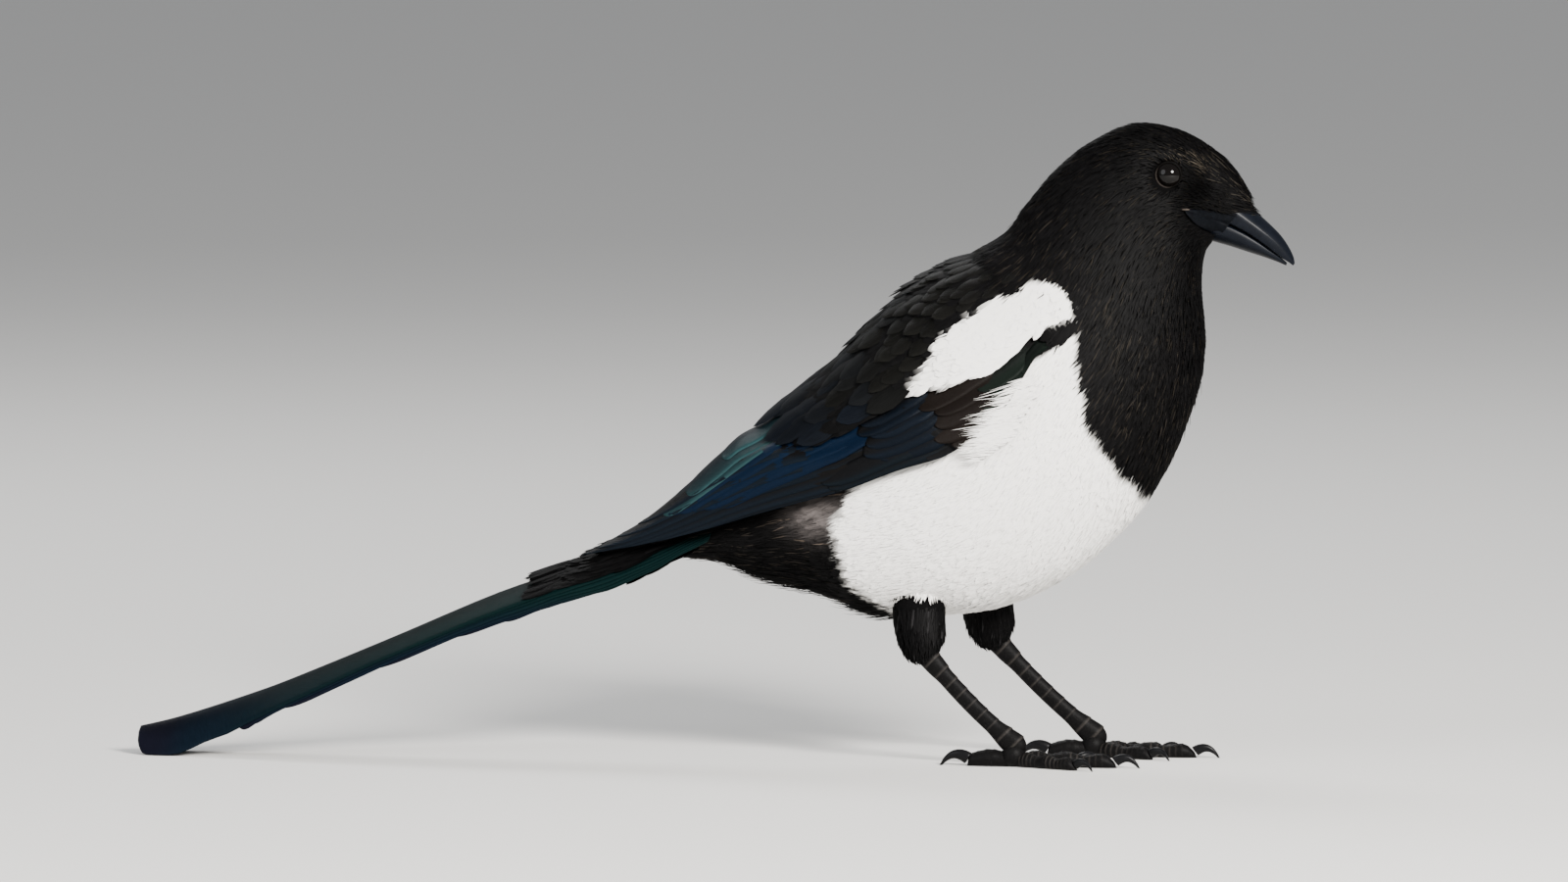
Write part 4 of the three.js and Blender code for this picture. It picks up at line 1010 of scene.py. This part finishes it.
def build_cover_skin():
    """The black and white plates under the mantle's and shoulders' feathers."""
    rows, columns = 60, 90
    place, share = grid((0.75, 6.75, rows), (-1, 1, columns))
    edge = np.where(place < 4.1, along(COVER_EDGE, place) - 2.5, along(MANTLE_EDGE, place) - 1)
    degrees = share * edge
    degrees = np.where(np.abs(degrees) < 0.2, 0.2, degrees)
    here, _, _ = shell_frame(place, degrees)
    rough = noise(here, 8, 21) * 1.3
    black = (np.abs(degrees) < along(MANTLE_EDGE, place) + rough)[..., None]
    tint = np.where(black, BLACK, WHITE * 0.85).reshape(-1, 3)
    outer, inner = shell(place, degrees, 1.35 + 0 * place), shell(place, degrees, 2.0 + 0 * place)
    points, faces = plate(outer, inner)
    uv = shell_uv(place, degrees).reshape(-1, 2)
    piece(
        "cover_skin", points, faces, SKIN, "black_feather", "mantle", "scapulars_right", "scapulars_left",
        tint=np.tile(tint, (2, 1)), uv=np.tile(uv, (2, 1))
    )


def rump_depth(place):
    """How deep the rump lies below the shell; at its end it sinks to the tail."""
    return 3.6 + 3.2 * step(place, 11.9, 13)


def build_rump():
    """The black feathers that close the back under both wings down to the tail."""
    place, degrees = grid((6.2, 13, 44), (-85, 85, 61))
    depth = rump_depth(place)
    points, faces = plate(shell(place, degrees, depth + 0.5), shell(place, degrees, depth + 1.1))
    uv = np.tile(shell_uv(place, degrees).reshape(-1, 2) * [0.5, 1], (2, 1))
    piece("rump_skin", points, faces, SKIN, "black_feather", tint=np.tile(BLACK, (len(points), 1)), uv=uv)
    place, degrees = scatter(shell_at, (6.3, 12.8), (-84, 84), 1.9, (70, 120))
    here, way, out = shell_frame(place, degrees)
    n = len(here)
    length = RNG.uniform(8, 13, n) * np.interp(place, [11.5, 12.8], [1, 0.6])
    tint = BLACK * RNG.uniform(0.7, 1.4, (n, 1))
    way, depth, spot = turned(way, out, 0.08), rump_depth(place) + 0.6, shell_uv(place, degrees) * [0.5, 1]
    tufts("rump", here, depth, way, out, length, 1.3, 0.05, 0.04, tint, spot)


# Flight feathers

# Root station, tip station, root angle, tip angle, half width, kind
FLIGHT = [
    (5.5, 8.9, 14, 20, 8.8, "tertial"), (5.2, 9.9, 26, 31, 8.6, "tertial"),
    (4.9, 10.55, 38, 38, 8.0, "tertial"), (4.7, 10.4, 45, 46, 6.4, "secondary"),
    (4.5, 10.1, 52, 53, 6.0, "secondary"), (4.35, 9.75, 58, 59, 5.6, "secondary"),
    (4.2, 9.4, 63.5, 65, 5.2, "secondary"), (4.1, 9.0, 68, 70, 5.0, "secondary"),
    (4.1, 11.3, 71, 28, 5.6, "primary"), (3.95, 11.9, 74, 38, 5.2, "primary"),
    (3.85, 12.6, 77, 48, 5.0, "primary"), (3.75, 13.2, 80, 58, 4.8, "primary"),
    (3.65, 12.8, 83, 69, 4.4, "primary"), (3.55, 12.2, 86, 77, 4.0, "primary"),
    (3.45, 11.3, 88, 84, 3.6, "primary"),
]
# Count, root station, tip station, first and last angle, half width, kind
COVERTS = [
    (6, 3.3, 5.35, 61, 80, 5.6, "greater"), (3, 3.6, 6.4, 82, 88, 3.8, "hand"),
    (5, 1.9, 3.95, 68, 86, 5.2, "median"), (5, 1.3, 2.9, 73, 86, 4.4, "lesser"),
    (4, 0.95, 2.0, 76, 84, 3.6, "lesser"),
]
# Inner colour, outer web's colour, share of the outer web that has it
KINDS = {
    "tertial": ((0.0016, 0.0038, 0.0060), (0.0150, 0.0400, 0.0430), 0.45),
    "secondary": ((0.0013, 0.0028, 0.0062), (0.0013, 0.0050, 0.0135), 0.75),
    "primary": ((0.0026, 0.0023, 0.0022), (0.0026, 0.0046, 0.0076), 0.25),
    "greater": ((0.0022, 0.0021, 0.0022), (0.0020, 0.0036, 0.0066), 0.3),
    "hand": ((0.0020, 0.0020, 0.0023), (0.0022, 0.0038, 0.0056), 0.3),
    "median": ((0.0050, 0.0036, 0.0029), (0.0058, 0.0043, 0.0036), 0.3),
    "lesser": ((0.0026, 0.0036, 0.0030), (0.0040, 0.0062, 0.0048), 0.5),
}


def vane_width(s, blunt):
    """A vane's half width along its length, as a share, with a round tip over the blunt part."""
    root = np.minimum(1, 0.55 + 1.3 * s)
    start = 1 - blunt
    tip = np.sqrt(np.maximum(0, 1 - (np.maximum(s - start, 0) / blunt) ** 2.2))
    return root * tip


def two_faces(tint, lie):
    """The colours and the grain's places of a vane's upper face, for both its faces."""
    return np.tile(tint.reshape(-1, 3), (2, 1)), np.tile(lie.reshape(-1, 2), (2, 1))


def vane_grid(rows, columns, tip_rows, tip_start, end):
    """Shares of a vane's length, closer together at its tip, and of its half width."""
    body, tip = np.linspace(0, tip_start[0], rows - tip_rows), np.linspace(tip_start[1], end, tip_rows)
    return np.concatenate([body, tip])[:, None], np.linspace(-1, 1, columns)[None]


def ragged_edge(rng, s, size, count):
    return 1 + size * np.interp(s, np.linspace(0, 1, count), rng.uniform(-1, 1, count))


def shell_vane(root, tip, root_angle, tip_angle, half, kind, hand, lift, sink, blunt, seed, inset=0.0,
               rows=26, columns=9):
    """A flight feather or covert on the wing's face, with its shaft raised."""
    rng = np.random.default_rng(seed)
    s, o = vane_grid(rows, columns, 8, (0.85, 0.87), 0.998)
    place = mix(root, tip, s)
    middle = mix(root_angle, tip_angle, s)
    here = shell_at(place, hand * middle)
    per_degree = np.linalg.norm(shell_at(place, hand * (middle + 1)) - here, axis=-1)
    width = half * vane_width(s, blunt) * ragged_edge(rng, s, 0.035, 14) / np.maximum(per_degree, 0.05)
    degrees = np.clip(middle + o * width, along(WING_TOP, place) + inset, along(WING_BOTTOM, place))
    rise = lift * (0.5 + 0.5 * o) * step(s, 0, 0.4) + 0.14 * (1 - o**2)
    rise = rise + 0.16 * bell(o, 0.13) * (1 - 0.6 * s)
    depth = wing_face(place, degrees) + sink * (1 - step(s, 0, 0.35)) - rise
    outer = shell(place, hand * degrees, depth)
    inner = shell(place, hand * degrees, depth + 0.45)
    points, faces = plate(outer, inner)
    faces = turned_over(faces, hand < 0)
    inside, web, share = KINDS[kind]
    weight = step(o, 1 - 2 * share - 0.25, 1 - 2 * share + 0.35) * step(s, 0.05, 0.25)
    if kind == "tertial":
        weight = np.maximum(weight * 0.25, step(o, 0.55, 0.98)) * np.ones_like(s)
    shaft = (bell(o, 0.07) * 0.5 * np.ones_like(s))[..., None]
    tint = mix(np.array(inside), np.array(web), weight[..., None])
    tint = tint * (1 + 0.25 * shaft) * rng.uniform(0.9, 1.12)
    lie = stack(s * (tip - root) * 0.8 - 0.25 * np.abs(o) + rng.uniform(0, 9), s * 9 + np.abs(o) * 1.1)
    return points, faces, *two_faces(tint, lie), rows, columns


def cell_uv(number, count, rows, columns):
    """A rectangle of the bake for one vane, its two faces side by side."""
    wide = math.ceil(math.sqrt(count))
    i, j = divmod(number, wide)
    u, v = grid((0.06, 0.94, rows), (0.05, 0.45, columns))
    front, back = np.stack([u, v], -1).reshape(-1, 2), np.stack([u, v + 0.5], -1).reshape(-1, 2)
    return (np.concatenate([front, back]) + [i, j]) / wide


def build_wing(word, hand):
    """A folded wing: flight feathers, rows of coverts and a black plate under them."""
    parts = []
    for k, feather in enumerate(FLIGHT):
        blunt = 0.2 if feather[-1] == "primary" else 0.12
        parts.append(shell_vane(*feather, hand, 0.75, 1.2, inset=0.1 * k, blunt=blunt, seed=k))
    for row, (count, root, tip, first, last, half, kind) in enumerate(COVERTS):
        small = {"rows": 18, "columns": 7, "blunt": 0.35}
        for k in range(count):
            angle = mix(first, last, k / max(count - 1, 1))
            place = (root, tip + 0.14 * math.sin(2.1 * k + row), angle, angle + 1)
            lift, seed = 0.7 + 0.12 * row, 50 + 9 * row + k
            parts.append(shell_vane(*place, half, kind, hand, lift, 1.0, seed=seed, **small))
    place, share = grid((0.8, 9.2, 40), (0, 1, 16))
    degrees = hand * mix(along(WING_TOP, place) + 1.5, along(WING_BOTTOM, place) - 1.0, share)
    face = wing_face(place, degrees)
    points, faces = plate(shell(place, degrees, face + 0.55), shell(place, degrees, face + 1.6))
    faces = turned_over(faces, hand < 0)
    parts.append((points, faces, np.tile(BLACK, (len(points), 1)), np.zeros((len(points), 2)), 40, 16))
    count = len(parts)
    whole = [(*one[:4], cell_uv(k, count, one[4], one[5])) for k, one in enumerate(parts)]
    points, faces, tint, lie, uv = joined(whole)
    piece(
        f"wing_feathers_{word}", points, faces, VANE, "flight_feather", f"wing_{word}",
        tint=tint, uv=uv, lie=lie
    )


TAIL_GREEN, TAIL_BLUE = np.array([0.0013, 0.0054, 0.0054]), np.array([0.0016, 0.0036, 0.0068])
TAIL_VIOLET = np.array([0.0032, 0.0022, 0.0048])


def build_tail():
    """Twelve tail feathers, folded, the middle pair on top."""
    parts = []
    rows, columns = 46, 13
    for pair, (tip, offset, half) in enumerate(TAIL_FEATHERS):
        for hand in HANDS.values():
            rng = np.random.default_rng(200 + pair * 2 + hand)
            s, o = vane_grid(rows, columns, 12, (0.9, 0.91), 0.999)
            place = mix(0.6, tip, s)
            scale = 1 - 0.17 * step(place, 6, 12)
            blunt = np.sqrt(np.maximum(0, 1 - (np.maximum(s - 0.92, 0) / 0.081) ** 2))
            ragged = ragged_edge(rng, s, 0.03, 22)
            width = half * scale * np.minimum(1, 0.62 + 0.9 * s) * blunt * ragged
            middle = scale * offset * (1 - 0.75 * s**3 if pair == 0 else 1)
            across = hand * (middle + o * width)
            shaft = 0.22 * bell(o, 0.1) * (1 - 0.5 * s)
            depth = 0.6 * pair + (0.3 if hand > 0 else 0.0) - shaft + 0 * across
            outer = floored(tail_at(place + 0 * across, across, depth), 0.05 * (6 - pair) + 0.45)
            inner = floored(tail_at(place + 0 * across, across, depth + 0.5), 0.05 * (6 - pair))
            points, faces = plate(outer, inner)
            faces = turned_over(faces, hand > 0)
            gloss = mix(TAIL_GREEN, TAIL_BLUE, step(s, 0.45, 0.9)[..., None])
            end = mix(gloss, TAIL_VIOLET, step(s, 0.86, 0.95)[..., None] * 0.6)
            web = mix(end * 0.8, end * 1.5, step(o, 0.1, 0.8)[..., None])
            quill = (bell(o, 0.06) * 0.002 * np.ones_like(s))[..., None]
            tint = web * rng.uniform(0.9, 1.1) + quill
            lie = stack(s * 6 - 0.3 * np.abs(o) + rng.uniform(0, 9), s * 24 + np.abs(o) * 1.4)
            spot = cell_uv(len(parts), 12, rows, columns)
            parts.append((points, faces, *two_faces(tint, lie), spot))
    points, faces, tint, lie, uv = joined(parts)
    piece("tail_feathers", points, faces, TAIL_VANE, "tail_feather", "tail", tint=tint, uv=uv, lie=lie)


def build_tail_coverts():
    """Black feathers over and under the tail's root."""
    n, share_under, last_under = 1500, 0.3, 2.4
    place = RNG.uniform(0.2, 4.6, n)
    under = (RNG.random(n) < share_under) & (place < last_under)
    across = RNG.uniform(-1, 1, n) * np.interp(place, [0, 3], [10, 13])
    # Over the tail they fill the room below the wing tips.
    x, z = smooth(TAIL, place)[:, :2].T
    room = np.interp(-x, -SHELL[:, 0], SHELL[:, 1]) - 3.4 - z
    rise = np.clip(room, 0, 12) * np.clip(1 - (across / 13.5) ** 2, 0, 1) * RNG.uniform(0.8, 1.0, n)
    depth = np.where(under, 6.0 + 1.2 * RNG.random(n), 0.2 - rise)
    here = tail_at(place, across, depth)
    ahead = unit(tail_at(place + 0.1, across, depth) - here)
    up = laid(unit(stack(0, across * 0.04, 1)) * np.where(under, -1, 1)[:, None], ahead)
    length = RNG.uniform(11, 17, n)
    tint = BLACK * RNG.uniform(0.7, 1.4, (n, 1))
    spot = stack(0.9 + 0.02 * place, 0.30 + 0.01 * across)
    tufts("tail_covert", here, 0, turned(ahead, up, 0.07), up, length, 1.7, 0.05, 0.05, tint, spot)


# Bill and eyes


def bill_rings(table, flat):
    """Rings of one half of the bill, flat below where flat is 1 and above where it is -1."""
    rows, sides = 40, 40
    rings = []
    turn = np.linspace(0, 2 * np.pi, sides, endpoint=False)
    for place in np.linspace(0, len(table) - 1, rows):
        tx, tz, bx, bz, half = smooth(table, place)
        c, s = np.cos(turn), np.sin(turn)
        squared = np.abs(c) ** 0.14
        up = np.where(c * flat < 0, -flat * squared, c)
        taper = np.where(c * flat < 0, 1, 1 - 0.3 * np.abs(c))
        x, z = (tx + bx) / 2 + (tx - bx) / 2 * up, (tz + bz) / 2 + (tz - bz) / 2 * up
        rings.append(stack(x, half * s * taper, z))
    return rings


def build_bill():
    # The lower half reaches up into the upper one's edge, so that no light passes between them.
    closed = BILL_LOWER + [0, 0.4, 0, 0, -0.12]
    for word, table, flat in (("upper", BILL_UPPER, 1), ("lower", closed, -1)):
        points, faces = tube(bill_rings(table, flat))
        piece(f"bill_{word}_horn", points, faces, HORN, "bill", f"bill_{word}")


def face_width(x, z):
    """Half the head's width at places in side view, from the ribs' nearest points."""
    place, turn = grid((0, 5, 130), (0.2, 2.95, 150))
    known = rib(place, turn).reshape(-1, 3)
    found = []
    for a, b in zip(np.ravel(x), np.ravel(z)):
        apart = (known[:, 0] - a) ** 2 + (known[:, 2] - b) ** 2
        near = np.argpartition(apart, 8)[:8]
        weight = 1 / (apart[near] + 0.02)
        found.append(np.sum(known[near, 1] * weight) / weight.sum())
    return np.reshape(found, np.shape(x))


def build_gape():
    """The horn that reaches back on each side of the face to the corner of the mouth."""
    u, v = grid((0, 1, 40), (0, 1, 28))
    front = mix(GAPE_FRONT["low"], GAPE_FRONT["high"], v)
    lower = mix(GAPE_CORNER["low"], GAPE_FRONT["low"], u**0.7)
    upper = mix(GAPE_CORNER["high"], GAPE_FRONT["high"], u)
    z = mix(lower, upper, v)
    # The front edge leans with the head's first rib, where the bill starts.
    end = RIBS[0, 2] + (front - RIBS[0, 3]) * 0.79
    x = mix(GAPE_CORNER["x"], end + 1.2, u)
    # The bill's half width there, round below its widest height
    widest = 190.5
    low = np.minimum((widest - front) / 6.8, 0.97)
    bill = np.where(front < widest, 6.1 * np.sqrt(1 - low**2), 6.3)
    # The line between the bill's halves is cut into the horn.
    cut = z - (192.8 - (x - 79.5) * 0.365)
    width = mix(face_width(np.minimum(x, end - 0.4), z), bill, step(u, 0.25, 1))
    width = width + 0.4 - 0.4 * bell(cut, 0.3) - 0.9 * np.abs(2 * v - 1) ** 8 * (1 - u)
    for word, hand in HANDS.items():
        points, faces = plate(stack(x, hand * width, z), stack(x, hand * (width - 1.5), z))
        faces = turned_over(faces, hand > 0)
        piece(f"gape_horn_{word}", points, faces, DULL_HORN, "bill")
        corner = (73.6, hand * (float(face_width([73.6], [195.4])[0]) - 0.1), 195.6)
        points, faces = sphere(corner, 1.0, 10, 14, (1.5, 0.6, 0.36))
        piece(f"gape_corner_{word}", points, turned_over(faces), GAPE, "bill")


def sphere(centre, radius, rows=40, columns=56, stretch=(1, 1, 1)):
    """A ball through rings, with its inner side out until it is turned over."""
    polar = np.linspace(0.001, np.pi - 0.001, rows)[:, None]
    turn = np.linspace(0, 2 * np.pi, columns, endpoint=False)
    ball = stack(np.sin(polar) * np.cos(turn), np.sin(polar) * np.sin(turn), np.cos(polar))
    return tube(np.array(centre) + ball * radius * np.array(stretch))


def lid_rings(hand, rows, sides):
    """Rings of the beaded lid round one eye."""
    around, turn = (np.linspace(0, 2 * np.pi, count, endpoint=False) for count in (rows, sides))
    around = around[:, None]
    bead = 1 + 0.1 * np.sin(around * 24)
    y = LID_RING["y"] + LID_RING["deep"] * np.sin(turn) * bead
    r = LID_RING["radius"] + LID_RING["thick"] * np.cos(turn) * bead
    return stack(EYE["x"] + np.cos(around) * r, hand * y, EYE["z"] + np.sin(around) * r)


def build_eyes():
    """Dark glassy eyeballs in thin lids, which are paler below and behind."""
    rows, sides = 72, 14
    for word, hand in HANDS.items():
        points, faces = sphere((EYE["x"], hand * EYE["y"], EYE["z"]), EYE["radius"])
        piece(f"eyeball_{word}", points, turned_over(faces), EYE_WET, "eye", f"eye_{word}")
        faces = grid_faces(rows + 1, sides, True) % (rows * sides)
        turn = np.linspace(0, 2 * np.pi, rows, endpoint=False)
        pale = np.repeat(0.25 + 0.75 * step(np.cos(turn - math.radians(215)), 0.1, 0.9), sides)[:, None]
        tint = np.array([0.017, 0.014, 0.012]) * pale**2
        points = lid_rings(hand, rows, sides).reshape(-1, 3)
        piece(f"lid_{word}", points, turned_over([faces], hand > 0), LID, "leg", tint=tint)


# Legs

SCUTE, SCUTE_EDGE = np.array([0.0034, 0.0032, 0.0033]), np.array([0.026, 0.023, 0.021])
HUB_TINT = (0.0036, 0.0034, 0.0035)


def limb_ring(centre, direction, deep, wide, sides, scute=0.0):
    """A ring about a limb's middle line; scute is how far its upper side stands out."""
    direction = unit(np.asarray(direction, float))
    across = np.cross(direction, [0, 0, 1])
    across = unit(across) if np.linalg.norm(across) > 0.3 else np.array([0.0, 1.0, 0.0])
    up = np.cross(across, direction)
    turn = 2 * np.pi * (np.arange(sides) + 0.5) / sides
    swell = 1 + scute * step(np.cos(turn), -0.1, 0.5)
    high, side = deep * np.cos(turn) * swell, wide * np.sin(turn) * swell
    return centre + up * high[:, None] + across * side[:, None]


def toe_way(turn, hand, heading):
    angle = math.radians(turn + hand * heading)
    return np.array([math.cos(angle), math.sin(angle), 0.0])


def scute_tints(share, count, sides):
    """Dark scutes with a paler lower edge, for the rings of a limb and its two ends."""
    saw = (np.asarray(share) * count) % 1
    pale = step(saw, 0.82, 0.97)
    tint = mix(SCUTE, SCUTE_EDGE, pale[..., None] * 0.8)
    return np.concatenate([np.repeat(tint, sides, axis=0), np.tile(SCUTE, (2, 1))])


def build_shank(word, leg):
    """The scaled shank from ankle to foot, with the hub that the toes leave from."""
    scutes, sides = 8, 28
    top, bottom = np.array(leg["ankle"]), np.array(leg["foot"])
    direction = unit(bottom - top)
    s = np.linspace(-0.06, 1.1, 104)
    rings = []
    for at in s:
        swell = 1 + 0.4 * step(at, 0.72, 0.98) + 0.25 * (1 - step(at, 0, 0.2))
        swell *= math.sqrt(max(0.02, 1 - max(0, (at - 0.98) / 0.122) ** 2))
        saw = (at * scutes) % 1
        bow = direction[[2, 1, 0]] * [-1, 0, 1] * 0.9 * math.sin(math.pi * min(max(at, 0), 1))
        centre = top + (bottom - top) * at - bow
        rings.append(limb_ring(centre, direction, 2.95 * swell, 2.2 * swell, sides, 0.02 + 0.08 * saw**2))
    points, faces = tube(rings)
    parts = [(floored(points), faces, scute_tints(s, scutes, sides))]
    hub, hub_faces = sphere((leg["foot"][0] - 0.4, leg["foot"][1], HUB["height"]), HUB["radius"], 18, 24)
    parts.append((floored(hub), turned_over(hub_faces), np.tile(HUB_TINT, (len(hub), 1))))
    points, faces, tint = joined(parts)
    piece(f"shank_{word}", points, faces, LEG, "leg", f"tarsus_{word}", tint=tint)


def build_toe(word, digit, leg, hand):
    """A toe with pads and scutes, and its curved claw."""
    heading, length, thick, end, reach, claw_thick, pads = TOES[digit]
    scutes, sides = 5 * pads, 22
    way = toe_way(FOOT_TURN[word], hand, heading)
    start = np.array([leg["foot"][0], leg["foot"][1], 0.0])
    s = np.linspace(0, 1, 26 * pads)
    rings = []
    for at in s:
        radius = mix(thick, end, at) / 2 * (1.06 + 0.1 * math.cos(2 * math.pi * pads * at + math.pi))
        radius *= math.sqrt(max(0.04, 1 - max(0, (at - 0.86) / 0.142) ** 2))
        centre = start + way * (2 + at * (length - 2)) + [0, 0, radius - SOLE]
        saw = (at * scutes) % 1
        rings.append(limb_ring(centre, way, radius * 1.04, radius, sides, 0.09 * saw**2))
    points, faces = tube(rings)
    tint = scute_tints(s, scutes, sides)
    piece(f"toe_scutes_{digit}_{word}", floored(points), faces, LEG, "leg", f"toe_{digit}_{word}", tint=tint)
    root = start + way * (length - 0.4) + [0, 0, end / 2 - SOLE + 0.5]
    rings = []
    for at in np.linspace(0, 0.99, 24):
        bend = math.radians(mix(-38, 72, at))
        centre = root + way * (reach * (at - 0.16 * at * at)) + [0, 0, reach * (0.66 * at - 0.94 * at * at)]
        radius = claw_thick * 0.64 * (1 - 0.9 * at**1.3)
        down = way * math.cos(bend) + [0, 0, -math.sin(bend)]
        rings.append(limb_ring(centre, down, radius * 1.1, radius * 0.8, 16))
    points, faces = tube(rings)
    piece(f"claw_horn_{digit}_{word}", floored(points), faces, CLAW, "claw", f"claw_{digit}_{word}")


build_skin()
build_cover_skin()
build_rump()
build_head_coat()
build_nasal_bristles()
build_body_coat()
build_wisps()
build_thigh_coat()
build_thigh_skirts()
build_cover_coat()
build_mantle_feathers()
build_flank_wisps()
for side, side_sign in HANDS.items():
    build_wing(side, side_sign)
    build_shank(side, LEGS[side])
    for toe in TOES:
        build_toe(side, toe, LEGS[side], side_sign)
build_tail()
build_tail_coverts()
build_bill()
build_gape()
build_eyes()


# Stage, in metres


def build_floor(size, colour):
    bpy.ops.mesh.primitive_plane_add(size=size)
    made = bpy.context.object
    made.name = "floor"
    finish = bpy.data.materials.new("floor")
    finish.use_nodes = True
    shader = finish.node_tree.nodes["Principled BSDF"]
    shader.inputs["Base Color"].default_value = (*colour, 1)
    shader.inputs["Roughness"].default_value = 0.9
    made.data.materials.append(finish)


def build_lamp(name, at, size, watts, colour=(1, 1, 1)):
    """A round soft lamp that looks at the bird's middle."""
    data = bpy.data.lights.new(name, "AREA")
    data.shape, data.size, data.energy, data.color = "DISK", size, watts, colour
    made = bpy.data.objects.new(name, data)
    made.location = at
    made.rotation_euler = (MIDDLE - Vector(at)).to_track_quat("-Z", "Y").to_euler()
    bpy.context.scene.collection.objects.link(made)


def build_world(colour, strength):
    world = bpy.data.worlds.new("studio")
    world.use_nodes = True
    sky = world.node_tree.nodes["Background"]
    sky.inputs["Color"].default_value = (*colour, 1)
    sky.inputs["Strength"].default_value = strength
    bpy.context.scene.world = world


def build_camera(azimuth, elevation, distance, lens, sideways, upwards):
    """A camera at the photograph's viewing angle; it looks past the tables' origin by the last two."""
    azimuth, elevation = math.radians(azimuth), math.radians(elevation)
    right = Vector((math.cos(azimuth), math.sin(azimuth), 0))
    level = math.cos(elevation)
    back = Vector((math.sin(azimuth) * level, -math.cos(azimuth) * level, math.sin(elevation)))
    camera = bpy.data.objects.new("camera", bpy.data.cameras.new("camera"))
    camera.data.lens, camera.data.sensor_width = lens, 36
    camera.data.clip_start, camera.data.clip_end = 0.1, 60
    target = Vector((SHIFT / 1000, 0, 0)) + right * sideways + back.cross(right) * upwards
    camera.location = target + back * distance
    camera.rotation_euler = back.to_track_quat("Z", "Y").to_euler()
    bpy.context.scene.collection.objects.link(camera)
    bpy.context.scene.camera = camera


MIDDLE = Vector((0.0, 0.0, 0.11))
build_floor(size=30, colour=(0.70, 0.69, 0.67))
build_lamp("key", (1.2, -1.7, 1.1), size=0.7, watts=160, colour=(1, 0.97, 0.93))
build_lamp("fill", (-1.3, -1.4, 0.9), size=1.4, watts=20, colour=(0.94, 0.97, 1))
build_lamp("rim", (-0.5, 1.3, 1.6), size=0.9, watts=22)
build_world((0.80, 0.82, 0.85), 0.5)
build_camera(azimuth=6, elevation=4, distance=6.13, lens=400, sideways=-0.069, upwards=0.1125)
